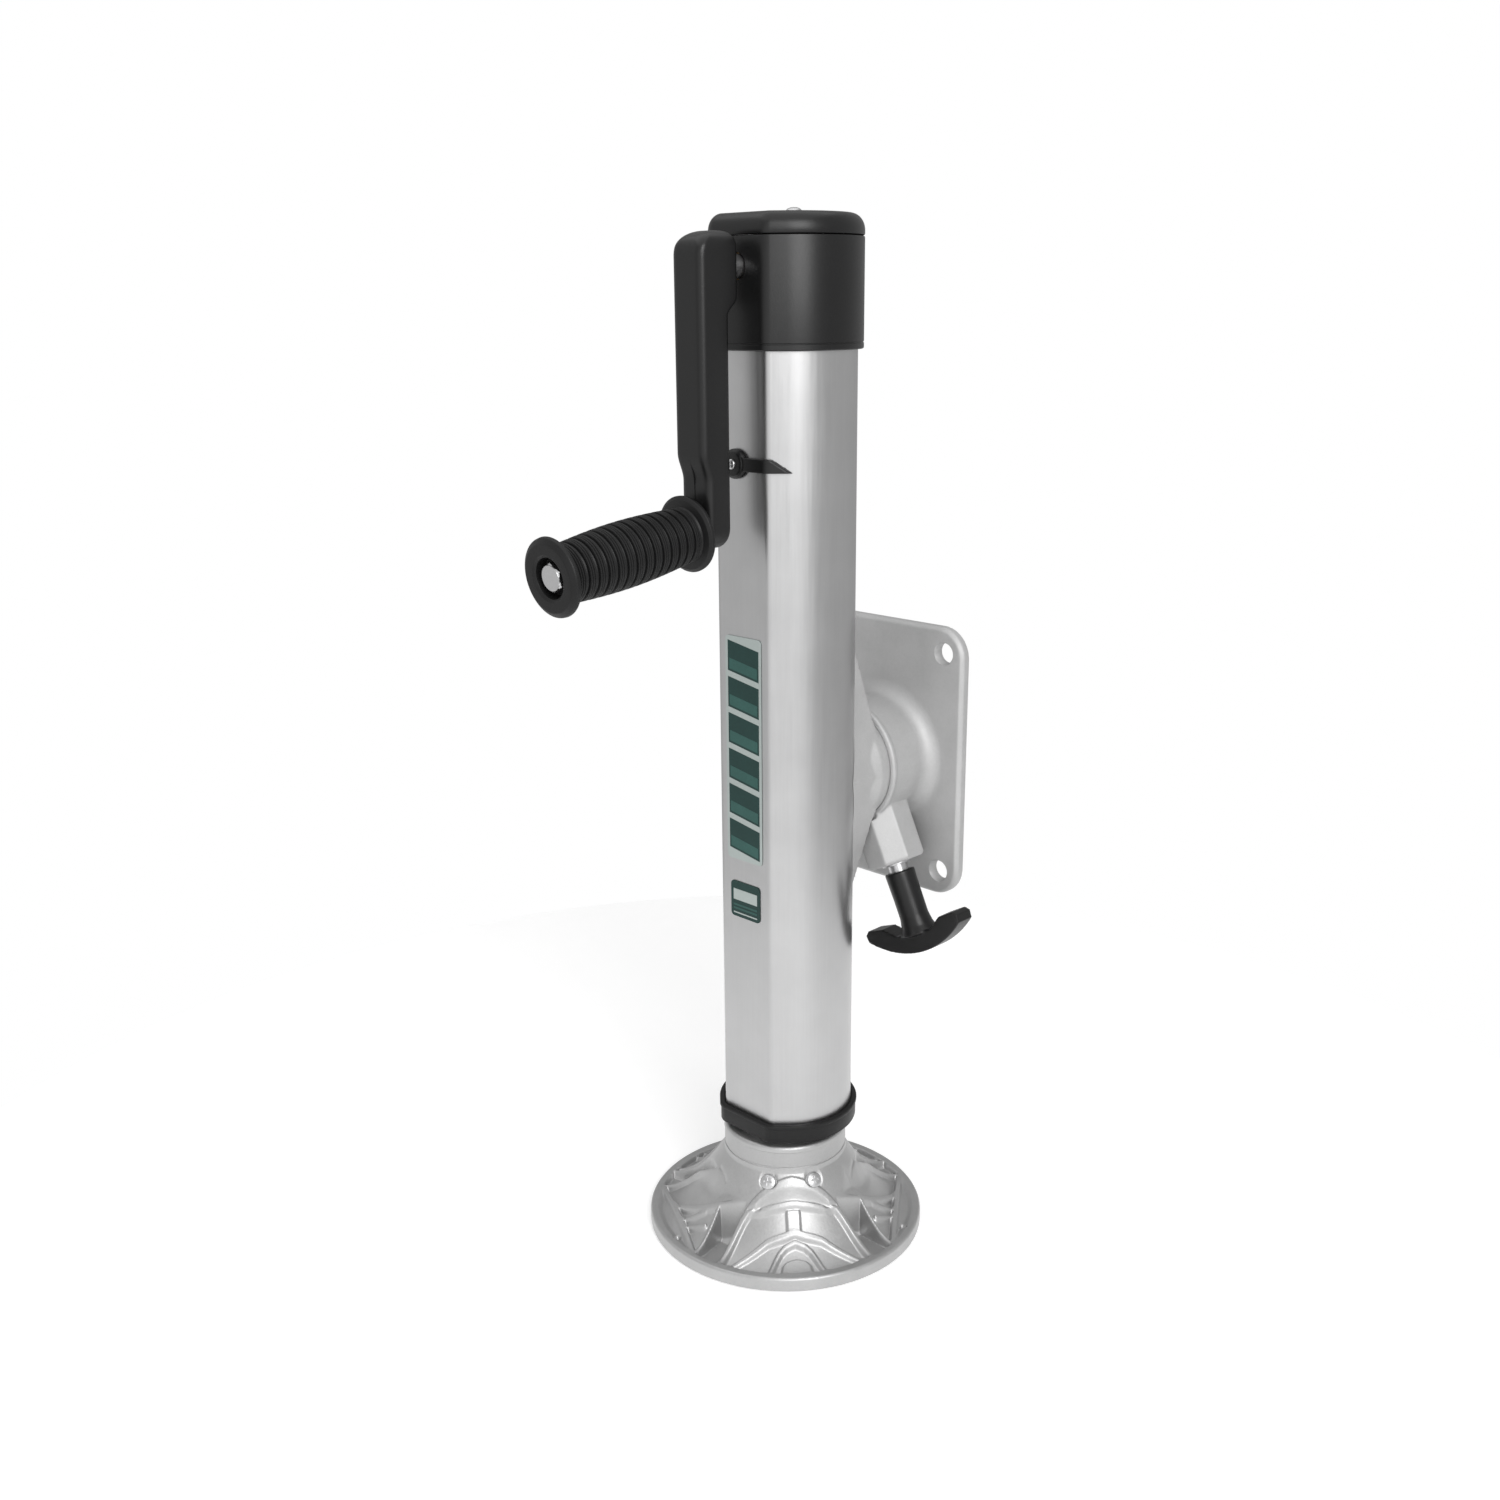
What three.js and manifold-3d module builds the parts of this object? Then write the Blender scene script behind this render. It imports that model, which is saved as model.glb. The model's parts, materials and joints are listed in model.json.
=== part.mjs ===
// A sidewind trailer tongue jack: a D-section outer tube with a crank and bevel gears at the top, a lead
// screw that drives a telescoping ram with a cast foot, and a swivel bracket with a spring plunger that bolts
// to the trailer's tongue. Millimetres. +Z is up, the origin is at the middle of the foot's underside, the
// crank faces -X and the mounting plate faces +X.
import * as THREE from 'three';
import { mergeVertices } from 'three/addons/utils/BufferGeometryUtils.js';
import Module from 'manifold-3d';

const wasm = await Module();
wasm.setup();

const { degToRad, radToDeg, smoothstep } = THREE.MathUtils;

// ---------------------------------------------------------------- driving dimensions
const GAP = 0.3;

// Outer tube: a circle with one flat side, and the corners between them rounded
const TUBE_CENTRE_X = 3;
const TUBE_R = 40.5;
const FLAT_X = -34;
const CORNER_R = 6;
const CORNER_X = FLAT_X + CORNER_R;
const CORNER_Y = 17.5;
const TUBE_WALL = 3;
const TUBE_BOTTOM = 79;
const TUBE_TOP = 562;
const COLLAR_OFFSET = 3.2;
const COLLAR = [74, 86];

// Ram, lead screw, nut and the rings that guide the ram in the tube
const RAM_R = 30;
const RAM_WALL = 3;
const RAM_BOTTOM = 24.3;
const RAM_TOP = 455;
const NUT_BOTTOM = 440;
const NUT_FLANGE = 5;
const GUIDE_RING = [418, 438];
const GUIDE_BUSH = [92, 150];
const SCREW_R = 10;
const SCREW_BOTTOM = 180;
const SCREW_SHOULDER = 547;
const SHOULDER_R = 13;
const SHOULDER_HEIGHT = 5;
const JOURNAL_R = 7;
const JOURNAL_TOP = 591.5;

// Thrust bearing between the screw's shoulder and the gear frame
const RACE_R = 19;
const RACE_THICKNESS = 2.4;
const BALL_COUNT = 8;
const BALL_CIRCLE_R = 13.2;

// Bevel gears: their cones meet where the crank's axis crosses the screw's
const CRANK_Z = 600;
const TOOTH_MODULE = 2;
const PINION_TEETH = 12;
const GEAR_TEETH = 24;
const FACE_WIDTH = 8.5;
const GEAR_PIN_RISE = 6.5;
const PINION_PIN_X = -26.6;

// Crank shaft, along X
const SHAFT_R = 6.5;
const SHAFT_STEP_R = 5.5;
const SHAFT_START_X = -69.5;
const SHAFT_STEP_X = -28.4;
const SHAFT_END_X = 36;
const ARM_PIN_X = -61;

// Gear frame on the tube's end, and the cap over it
const FRAME_BASE = 6;
const FRAME_WALL = 3;
const FRAME_HALF_WIDTH = 18;
const FRAME_FRONT_X = -33.5;
const FRAME_REAR_X = 29;
const FRAME_TOP = 614.4;
const STRAP_THICKNESS = 2.5;
const CAP_OFFSET = 3.3;
const CAP_BOTTOM = 555.4;
const CAP_SEAM = 616;
const CAP_TOP = 628.2;
const CAP_ROUND = 5;
const CAP_SCREW_X = 9;

// Crank arm and grip
const ARM_HALF_WIDTH = 11.8;
const ARM_BACK_X = -53.5;
const ARM_UPPER_X = -74.5;
const ARM_LOWER_X = -70.5;
const ARM_BOSS_X = -46.5;
const ARM_TOP = 618;
const ARM_STEP = [488, 501];
const GRIP_PIVOT = [-62, 460.7];
const GRIP_DROOP = degToRad(7.4);
const GRIP_START = 11.9;
const GRIP_LENGTH = 101.7;
const GRIP_FLANGE_R = 21.5;
const GRIP_FLANGE = 5;
const GRIP_BARREL_R = 15.5;
const GRIP_SWELL = 2.4;
const GRIP_RECESS = [11, 8];
const GRIP_BOLT_R = 4;

// Swivel, plate and hub
const PIVOT_Z = 299;
const SADDLE_REACH = 85;
const SADDLE_SCREW_Z = 68;
const SADDLE_SCREW_SPREAD = degToRad(13);
const DISC_R = 36.6;
const SPINDLE_R = 25.5;
const STUD_R = 11.5;
const PLATE_X = [93.6, 100.6];
const PLATE_HALF = [62.4, 87.7];
const PLATE_CORNER = 19;
const PLATE_BEVEL = 2;
const BOLT_HALF_SPACING = [47.63, 71.44];
const BOLT_HOLE_R = 6.75;
const HUB_R = 39.5;
const HUB_FRONT_X = 57;
const HUB_FILLET = 10;

// Spring plunger: distances are along its axis, from the swivel's axis outward
const PLUNGER_X = 72;
const PLUNGER_LEAN = degToRad(25.6);
const PLUNGER_R = 6;
const PLUNGER_TIP = 26.4;
const SEAT = [36, 38.5];
const BOSS_FLATS = 37;
const BOSS_END = 71;
const HANDLE_START = 77;
const HANDLE_PIN = HANDLE_START + 15;

// Foot
const FOOT_R = 88.9;
const FOOT_RIM = 9;
const RIM_INNER_R = 83.5;
const NECK_R = 39.3;
const NECK_BOTTOM = 54;
const NECK_TOP = 70;
const FRONT_PETAL = degToRad(229);
// Each petal's middle, turned from the front one's, and half its width, in degrees
const PETALS = [[0, 35], [78, 30], [147, 27], [-147, 27], [-78, 30]];
const FOOT_SCREW_SPREAD = degToRad(20);

// Storage clip on the tube's flat: where its rivet stands, as [y, z]
const CLIP_PLACE = [4, 493.5];

// ---------------------------------------------------------------- materials
const paint = (color, roughness, metalness) => ({ color, roughness, metalness });
const TUBE_ALUMINIUM = paint(0xb9b9b9, 0.32, 0.9);
const CAST_ALUMINIUM = paint(0xb4b4b2, 0.45, 0.85);
const BLACK_PLASTIC = paint(0x191919, 0.45, 0);
const BLACK_RUBBER = paint(0x141414, 0.7, 0);
const ZINC_STEEL = paint(0xbfc0c2, 0.35, 1);
const DARK_STEEL = paint(0x6a6a68, 0.4, 1);
const BRONZE = paint(0xa97c3f, 0.4, 0.9);
const GREEN_PRINT = paint(0x2c5a4e, 0.4, 0.1);

// ---------------------------------------------------------------- helpers
const group = new THREE.Group();

function add(name, shape, look, matrix) {
  const geometry = shape.isBufferGeometry ? shape : toGeometry(shape);
  const mesh = new THREE.Mesh(geometry, new THREE.MeshStandardMaterial(look));
  mesh.name = name;
  if (matrix) mesh.applyMatrix4(matrix);
  group.add(mesh);
}

function solid(geometry, matrix) {
  const bare = geometry.clone();
  if (matrix) bare.applyMatrix4(matrix);
  const extra = Object.keys(bare.attributes).filter((key) => key !== 'position');
  extra.forEach((key) => bare.deleteAttribute(key));
  const merged = mergeVertices(bare, 1e-4);
  return new wasm.Manifold(new wasm.Mesh({
    numProp: 3,
    vertProperties: Float32Array.from(merged.attributes.position.array),
    triVerts: Uint32Array.from(merged.index.array),
  }));
}

function toGeometry(manifold) {
  const mesh = manifold.getMesh();
  const geometry = new THREE.BufferGeometry();
  geometry.setAttribute('position', new THREE.BufferAttribute(Float32Array.from(mesh.vertProperties), 3));
  geometry.setIndex(new THREE.BufferAttribute(Uint32Array.from(mesh.triVerts), 1));
  return geometry;
}

const join = (first, ...rest) => rest.reduce((whole, next) => whole.add(next), first);
const cut = (first, ...rest) => rest.reduce((whole, next) => whole.subtract(next), first);

const at = (x, y, z) => new THREE.Matrix4().makeTranslation(x, y, z);
const point2 = (x, y) => new THREE.Vector2(x, y);

// A matrix that stands local +Z along a direction, with its origin at a point
function along(point, direction) {
  const up = new THREE.Vector3(0, 0, 1);
  const turn = new THREE.Quaternion().setFromUnitVectors(up, direction.clone().normalize());
  return new THREE.Matrix4().compose(point, turn, new THREE.Vector3(1, 1, 1));
}

const ALONG_X = new THREE.Matrix4().makeRotationY(Math.PI / 2);
const alongX = (y, z) => at(0, y, z).multiply(ALONG_X);
const ALONG_Y = new THREE.Matrix4().makeRotationX(-Math.PI / 2);
const alongY = (x, z) => at(x, 0, z).multiply(ALONG_Y);

// A flat drawing's X and Y laid along Y and Z, and along X and Z
const FACING_X = new THREE.Matrix4().makeBasis(
  new THREE.Vector3(0, 1, 0),
  new THREE.Vector3(0, 0, 1),
  new THREE.Vector3(1, 0, 0),
);
const FACING_Y = new THREE.Matrix4().makeRotationX(Math.PI / 2);

// A solid of revolution about local Z from [radius, z] pairs
function turned(profile, sides = 24) {
  const geometry = new THREE.LatheGeometry(profile.map(([r, z]) => point2(r, z)), sides);
  return geometry.rotateX(Math.PI / 2);
}

// A round bar from z0 to z1 about local Z
const rod = (radius, z0, z1, sides = 20) => turned([[0, z0], [radius, z0], [radius, z1], [0, z1]], sides);

// A round tube from z0 to z1 about local Z
function ring(radius, inner, z0, z1, sides = 24) {
  return turned([[inner, z0], [radius, z0], [radius, z1], [inner, z1], [inner, z0]], sides);
}

// A screw or rivet whose head stands on local Z = 0
function screw(headR, headHeight, shankR, shankLength) {
  const profile = [
    [0, -shankLength], [shankR, -shankLength], [shankR, 0], [headR, 0],
    [headR, headHeight * 0.6], [headR * 0.7, headHeight], [0, headHeight],
  ];
  return turned(profile, 12);
}

// A round hole through whatever stands at a place
const hole = (radius, z0, z1, place) => solid(rod(radius, z0, z1, 12), place);

function extruded(points, z0, z1, holes = [], bevel = 0) {
  const shape = new THREE.Shape(points);
  shape.holes = holes.map((outline) => new THREE.Path(outline));
  const geometry = new THREE.ExtrudeGeometry(shape, {
    depth: z1 - z0 - 2 * bevel,
    bevelEnabled: bevel > 0,
    bevelThickness: bevel,
    bevelSize: bevel,
    bevelOffset: -bevel,
    bevelSegments: 1,
    steps: 1,
  });
  return geometry.translate(0, 0, z0 + bevel);
}

function arc(cx, cy, radius, from, to, step = 10) {
  const count = Math.max(2, Math.ceil(Math.abs(to - from) / step));
  return Array.from({ length: count + 1 }, (_, i) => {
    const angle = degToRad(from + ((to - from) * i) / count);
    return point2(cx + radius * Math.cos(angle), cy + radius * Math.sin(angle));
  });
}

const circle = (cx, cy, radius, step = 15) => arc(cx, cy, radius, 0, 360, step).slice(0, -1);

function roundedRect(halfX, halfY, radius, cx, cy) {
  const quarters = [[1, 1], [-1, 1], [-1, -1], [1, -1]];
  return quarters.flatMap(([sx, sy], i) => (
    arc(cx + sx * (halfX - radius), cy + sy * (halfY - radius), radius, 90 * i, 90 * (i + 1), 22.5)
  ));
}

// The angle at which a straight side leaves the corner and meets the tube's big arc
const SIDE_NORMAL = (() => {
  const reach = Math.hypot(CORNER_X - TUBE_CENTRE_X, CORNER_Y);
  const towards = Math.atan2(CORNER_Y, CORNER_X - TUBE_CENTRE_X);
  return radToDeg(towards - Math.acos((TUBE_R - CORNER_R) / reach));
})();

// The tube's outline, grown outward by an offset
function dOutline(offset) {
  return [
    ...arc(TUBE_CENTRE_X, 0, TUBE_R + offset, -SIDE_NORMAL, SIDE_NORMAL, 11),
    ...arc(CORNER_X, CORNER_Y, CORNER_R + offset, SIDE_NORMAL, 180, 18),
    ...arc(CORNER_X, -CORNER_Y, CORNER_R + offset, 180, 360 - SIDE_NORMAL, 18),
  ];
}

// A closed surface through rings of points; a ring of one point is a pole
function ringSolid(rings, looped = false) {
  const starts = rings.map((_, i) => rings.slice(0, i).flat().length);
  const corner = (i, k) => starts[i] + (rings[i].length > 1 ? k % rings[i].length : 0);
  const index = [];
  const last = looped ? rings.length : rings.length - 1;
  for (let a = 0; a < last; a++) {
    const b = (a + 1) % rings.length;
    const count = Math.max(rings[a].length, rings[b].length);
    for (let k = 0; k < count; k++) {
      if (rings[a].length > 1) index.push(corner(a, k), corner(a, k + 1), corner(b, k + 1));
      if (rings[b].length > 1) index.push(corner(a, k), corner(b, k + 1), corner(b, k));
    }
  }
  const positions = rings.flat().flatMap((p) => [p.x, p.y, p.z]);
  const geometry = new THREE.BufferGeometry();
  geometry.setAttribute('position', new THREE.BufferAttribute(new Float32Array(positions), 3));
  geometry.setIndex(index);
  return geometry;
}

// ---------------------------------------------------------------- foot
// The petal an angle is in or nearest to: how far it is from the petal's middle, and half the petal's width
function nearestPetal(angle) {
  const turn = 2 * Math.PI;
  const petals = PETALS.map(([middle, half]) => {
    const away = angle - FRONT_PETAL - degToRad(middle);
    return { offset: Math.abs(away - turn * Math.round(away / turn)), half: degToRad(half) };
  });
  return petals.reduce((a, b) => (a.offset - a.half < b.offset - b.half ? a : b));
}

// Height of the foot's upper surface at a radius and an angle: a cone with a flat dish in each petal, a ridge
// along its edge and a deep valley between it and the next one
function footHeight(radius, angle) {
  const climb = (RIM_INNER_R - radius) / (RIM_INNER_R - NECK_R);
  const cone = FOOT_RIM + (NECK_BOTTOM - FOOT_RIM) * climb ** 1.7;
  const { offset, half } = nearestPetal(angle);
  const edge = half * (1 - Math.exp(-(radius - NECK_R - 1.7) / 6));
  const inside = smoothstep(edge - offset, 0, 0.12);
  const outside = smoothstep(offset - edge, 0, 0.1);
  const outward = smoothstep(radius, 42, 52);
  const dish = 3.2 * inside * outward;
  const valley = outside * outward * (14.5 - 11 * smoothstep(radius, 62, 82));
  return Math.max(cone - dish - valley, 5);
}

// Two screws beside the root of the front petal, and two opposite them
function footScrewPlaces() {
  const middles = [FRONT_PETAL, FRONT_PETAL - Math.PI];
  const turns = middles.flatMap((middle) => [middle - FOOT_SCREW_SPREAD, middle + FOOT_SCREW_SPREAD]);
  return turns.map((turn) => {
    const out = new THREE.Vector3(Math.cos(turn), Math.sin(turn), 0);
    const point = out.clone().multiplyScalar(NECK_R + 4.2).setZ(NECK_BOTTOM - 6.5);
    return along(point, out.clone().setZ(0.7));
  });
}
const footScrewHole = (place) => hole(2.8, -14, 6, place);

function footCasting() {
  const sides = 36;
  const loop = (place) => Array.from({ length: sides }, (_, k) => {
    const angle = (2 * Math.PI * k) / sides;
    const [radius, z] = place(angle);
    return new THREE.Vector3(radius * Math.cos(angle), radius * Math.sin(angle), z);
  });
  const plain = (radius, z) => loop(() => [radius, z]);
  const surface = [82.5, 75, 67, 60, 53, 47.5, 43.5];
  const shell = solid(ringSolid([
    [new THREE.Vector3(0, 0, 0)],
    plain(FOOT_R - 1, 0),
    plain(FOOT_R, 1),
    plain(FOOT_R, FOOT_RIM - 1.5),
    plain(FOOT_R - 1.5, FOOT_RIM),
    plain(RIM_INNER_R + 1, FOOT_RIM),
    ...surface.map((radius) => loop((angle) => [radius, footHeight(radius, angle)])),
    plain(NECK_R, NECK_BOTTOM),
    plain(NECK_R, NECK_TOP - 2.5),
    plain(NECK_R - 2.5, NECK_TOP),
    plain(RAM_R + GAP, NECK_TOP),
    plain(RAM_R + GAP, RAM_BOTTOM - GAP),
    [new THREE.Vector3(0, 0, RAM_BOTTOM - GAP)],
  ]));
  const recesses = footScrewPlaces().map((place) => hole(4.8, -2 - GAP, 8, place));
  return cut(shell, ...footScrewPlaces().map(footScrewHole), ...recesses);
}

add('foot_casting', footCasting(), CAST_ALUMINIUM);
footScrewPlaces().forEach((place, i) => {
  add(`foot_screw_${i + 1}`, screw(4.4, 2.6, 2.4, 11).translate(0, 0, -2), ZINC_STEEL, place);
});

// ---------------------------------------------------------------- ram, screw and nut
const ramBody = solid(ring(RAM_R, RAM_R - RAM_WALL, RAM_BOTTOM, RAM_TOP, 36));
add('ram_tube', cut(ramBody, ...footScrewPlaces().map(footScrewHole)), ZINC_STEEL);

function ramNut() {
  const inner = SCREW_R + 0.5;
  const outer = RAM_R - RAM_WALL - GAP;
  const flange = RAM_TOP + GAP;
  return turned([
    [inner, NUT_BOTTOM], [outer, NUT_BOTTOM], [outer, flange], [RAM_R, flange],
    [RAM_R, RAM_TOP + NUT_FLANGE], [inner, RAM_TOP + NUT_FLANGE], [inner, NUT_BOTTOM],
  ]);
}
add('ram_nut', ramNut(), BRONZE);

const ramHole = circle(0, 0, RAM_R + 0.4, 10);
add('ram_guide_ring', extruded(dOutline(-TUBE_WALL - 0.5), ...GUIDE_RING, [ramHole]), BLACK_PLASTIC);
add('tube_guide_bush', extruded(dOutline(-TUBE_WALL - GAP), ...GUIDE_BUSH, [ramHole]), BLACK_PLASTIC);

const gearPinPlace = alongY(0, TUBE_TOP + FRAME_BASE + GEAR_PIN_RISE);
const gearPinHole = hole(2.3, -14, 14, gearPinPlace);

function leadScrew() {
  const shoulderTop = SCREW_SHOULDER + SHOULDER_HEIGHT;
  const body = turned([
    [0, SCREW_BOTTOM], [SCREW_R - 2, SCREW_BOTTOM], [SCREW_R, SCREW_BOTTOM + 2], [SCREW_R, SCREW_SHOULDER],
    [SHOULDER_R, SCREW_SHOULDER], [SHOULDER_R, shoulderTop], [JOURNAL_R, shoulderTop],
    [JOURNAL_R, JOURNAL_TOP - 1], [JOURNAL_R - 1, JOURNAL_TOP], [0, JOURNAL_TOP],
  ]);
  return cut(solid(body), gearPinHole);
}
add('lead_screw', leadScrew(), DARK_STEEL);
add('gear_pin', rod(2, -11, 11, 12), ZINC_STEEL, gearPinPlace);

// ---------------------------------------------------------------- thrust bearing
const lowerRace = SCREW_SHOULDER + SHOULDER_HEIGHT + GAP;
add('thrust_race_lower', ring(RACE_R, JOURNAL_R + GAP, lowerRace, lowerRace + RACE_THICKNESS), ZINC_STEEL);
add('thrust_race_upper', ring(RACE_R, JOURNAL_R + 0.5, TUBE_TOP - RACE_THICKNESS, TUBE_TOP), ZINC_STEEL);

function thrustCage() {
  const low = lowerRace + RACE_THICKNESS + GAP;
  const high = TUBE_TOP - RACE_THICKNESS - GAP;
  const middle = (low + high) / 2;
  const cage = solid(ring(RACE_R - 2, JOURNAL_R + 2.5, middle - 1, middle + 1));
  const balls = Array.from({ length: BALL_COUNT }, (_, i) => {
    const turn = (2 * Math.PI * i) / BALL_COUNT;
    const place = at(BALL_CIRCLE_R * Math.cos(turn), BALL_CIRCLE_R * Math.sin(turn), middle);
    return solid(new THREE.SphereGeometry((high - low) / 2, 6, 4), place);
  });
  return join(cage, ...balls);
}
add('thrust_ball_cage', thrustCage(), BRONZE);

// ---------------------------------------------------------------- bevel gears
// A bevel gear about local +Z with its cone's tip at the origin and its back away from it
function bevelGear(teeth, mateTeeth, { bore, hubR, hubEnd, backZ, phase }) {
  const cone = Math.atan2(teeth, mateTeeth);
  const outer = (TOOTH_MODULE * teeth) / 2 / Math.sin(cone);
  const inner = outer - FACE_WIDTH;
  const halfPitch = Math.PI / (2 * teeth);
  const flank = { root: 1.12 * halfPitch, tip: 0.42 * halfPitch };
  const rise = { root: -1.2 * TOOTH_MODULE, tip: 0.92 * TOOTH_MODULE };
  const corners = Array.from({ length: teeth }, (_, i) => {
    const middle = phase + (2 * Math.PI * i) / teeth;
    const sides = [['root', -1], ['tip', -1], ['tip', 1], ['root', 1]];
    return sides.map(([kind, side]) => ({ kind, angle: middle + side * flank[kind] }));
  }).flat();
  const point = (radius, z, angle) => (
    new THREE.Vector3(radius * Math.cos(angle), radius * Math.sin(angle), z)
  );
  const plain = (radius, z) => corners.map(({ angle }) => point(radius, z, angle));
  const toothed = (distance) => corners.map(({ kind, angle }) => {
    const height = (rise[kind] * distance) / outer;
    const radius = distance * Math.sin(cone) + height * Math.cos(cone);
    return point(radius, distance * Math.cos(cone) - height * Math.sin(cone), angle);
  });
  const innerFace = inner * Math.cos(cone) - (rise.root * inner * Math.sin(cone)) / outer;
  const backR = outer * Math.sin(cone) + rise.root * Math.cos(cone) - 0.8;
  return ringSolid([
    plain(bore, innerFace), toothed(inner), toothed(outer), plain(backR, backZ),
    plain(hubR, backZ), plain(hubR, hubEnd), plain(bore, hubEnd),
  ], true);
}

const gearShape = bevelGear(GEAR_TEETH, PINION_TEETH, {
  bore: JOURNAL_R + GAP,
  hubR: 12,
  hubEnd: CRANK_Z - TUBE_TOP - FRAME_BASE - 0.7,
  backZ: 17.5,
  phase: 0,
});
const FACING_DOWN = at(0, 0, CRANK_Z).multiply(new THREE.Matrix4().makeRotationX(Math.PI));
add('bevel_gear', cut(solid(gearShape, FACING_DOWN), gearPinHole), DARK_STEEL);

const pinionShape = bevelGear(PINION_TEETH, GEAR_TEETH, {
  bore: SHAFT_STEP_R + GAP,
  hubR: 8.5,
  hubEnd: 28.1,
  backZ: 25.3,
  phase: Math.PI / PINION_TEETH,
});
const FACING_CRANK = at(0, 0, CRANK_Z).multiply(new THREE.Matrix4().makeRotationY(-Math.PI / 2));
const pinionPinPlace = alongY(PINION_PIN_X, CRANK_Z);
const pinionPinHole = hole(1.2, -12, 12, pinionPinPlace);
add('bevel_pinion', cut(solid(pinionShape, FACING_CRANK), pinionPinHole), DARK_STEEL);
add('pinion_pin', rod(1, -8.2, 8.2, 12), ZINC_STEEL, pinionPinPlace);

// ---------------------------------------------------------------- crank shaft and arm
const armPinPlace = alongY(ARM_PIN_X, CRANK_Z);
const armPinHole = hole(2.8, 2.4 - ARM_HALF_WIDTH, 20, armPinPlace);

function crankShaft() {
  const body = turned([
    [0, SHAFT_START_X], [SHAFT_R, SHAFT_START_X], [SHAFT_R, SHAFT_STEP_X], [SHAFT_STEP_R, SHAFT_STEP_X],
    [SHAFT_STEP_R, SHAFT_END_X - 1], [SHAFT_STEP_R - 1, SHAFT_END_X], [0, SHAFT_END_X],
  ]);
  return cut(solid(body, alongX(0, CRANK_Z)), pinionPinHole, armPinHole);
}
add('crank_shaft', crankShaft(), ZINC_STEEL);
add('crank_pin', rod(2.5, -9, ARM_HALF_WIDTH - 0.4, 12), ZINC_STEEL, armPinPlace);
add('shaft_circlip', ring(9, SHAFT_STEP_R + 0.2, 32.6, 33.8), ZINC_STEEL, alongX(0, CRANK_Z));

const gripAxis = new THREE.Vector3(-Math.cos(GRIP_DROOP), 0, -Math.sin(GRIP_DROOP));
const gripPlace = along(new THREE.Vector3(GRIP_PIVOT[0], 0, GRIP_PIVOT[1]), gripAxis);

// The arm is its side outline and its front outline crossed
function crankArm() {
  const endZ = GRIP_PIVOT[1];
  const below = endZ - 20;
  const [bossRise, bossRamp, bossRound] = [17.5, 7, 4];
  const [topRound, cornerRound] = [13, 9];
  const side = [
    point2(ARM_BACK_X, below),
    point2(ARM_BACK_X, CRANK_Z - bossRise - bossRamp),
    point2(ARM_BOSS_X, CRANK_Z - bossRise),
    ...arc(ARM_BOSS_X - bossRound, ARM_TOP - bossRound, bossRound, 0, 90, 30),
    ...arc(ARM_UPPER_X + topRound, ARM_TOP - topRound, topRound, 90, 180, 18),
    point2(ARM_UPPER_X, ARM_STEP[1]),
    point2(ARM_LOWER_X, ARM_STEP[0]),
    point2(ARM_LOWER_X, below),
  ];
  const front = [
    ...arc(0, endZ, ARM_HALF_WIDTH, 180, 360, 15),
    ...arc(ARM_HALF_WIDTH - cornerRound, ARM_TOP - cornerRound, cornerRound, 0, 90, 18),
    ...arc(cornerRound - ARM_HALF_WIDTH, ARM_TOP - cornerRound, cornerRound, 90, 180, 18),
  ];
  const profile = solid(extruded(side, -ARM_HALF_WIDTH, ARM_HALF_WIDTH, [], 2.5), FACING_Y);
  const bar = profile.intersect(solid(extruded(front, -90, -40), FACING_X));
  const shaftHole = solid(rod(SHAFT_R + GAP, SHAFT_START_X - 0.5, -40), alongX(0, CRANK_Z));
  const boltHole = solid(rod(GRIP_BOLT_R + GAP, -20, 20, 16), gripPlace);
  return cut(bar, shaftHole, armPinHole, boltHole);
}
add('crank_arm', crankArm(), BLACK_PLASTIC);

// ---------------------------------------------------------------- grip
function gripSleeve() {
  const start = GRIP_START;
  const end = GRIP_START + GRIP_LENGTH;
  const [recessR, recessDepth] = GRIP_RECESS;
  const bore = GRIP_BOLT_R + 0.5;
  const barrelStart = start + GRIP_FLANGE + 1;
  const barrelLength = GRIP_LENGTH - 2 * GRIP_FLANGE - 2;
  const barrel = (t, depth) => [
    GRIP_BARREL_R + GRIP_SWELL * Math.sin(Math.PI * t) - depth,
    barrelStart + t * barrelLength,
  ];
  const ribs = 5;
  const grooves = Array.from({ length: ribs }, (_, i) => [
    barrel(i / ribs, 0), barrel((i + 0.78) / ribs, 0), barrel((i + 0.9) / ribs, 0.9),
  ]).flat();
  return turned([
    [bore, start], [GRIP_FLANGE_R - 2.5, start], [GRIP_FLANGE_R, start + 1.5],
    [GRIP_FLANGE_R, start + GRIP_FLANGE - 1], [GRIP_FLANGE_R - 1.5, start + GRIP_FLANGE],
    ...grooves, barrel(1, 0),
    [GRIP_FLANGE_R - 1.5, end - GRIP_FLANGE], [GRIP_FLANGE_R, end - GRIP_FLANGE + 1],
    [GRIP_FLANGE_R, end - 1.5], [GRIP_FLANGE_R - 1.5, end], [recessR, end],
    [recessR, end - recessDepth], [bore, end - recessDepth], [bore, start],
  ], 20);
}
add('handle_grip', gripSleeve(), BLACK_RUBBER, gripPlace);

function gripBolt() {
  const seat = GRIP_START + GRIP_LENGTH - GRIP_RECESS[1] + GAP;
  const [headR, headHeight, chamfer] = [8.2, 6.4, 1.4];
  const head = turned([
    [0, seat], [headR, seat], [headR, seat + headHeight - chamfer],
    [headR - 1.2, seat + headHeight], [0, seat + headHeight],
  ], 6);
  return join(solid(head), solid(rod(GRIP_BOLT_R, -7, seat + 1, 16)));
}
add('grip_bolt', gripBolt(), ZINC_STEEL, gripPlace);
const washerEnd = GRIP_START - GAP;
add('grip_washer', ring(9, GRIP_BOLT_R + GAP, washerEnd - 1.3, washerEnd), ZINC_STEEL, gripPlace);

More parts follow.
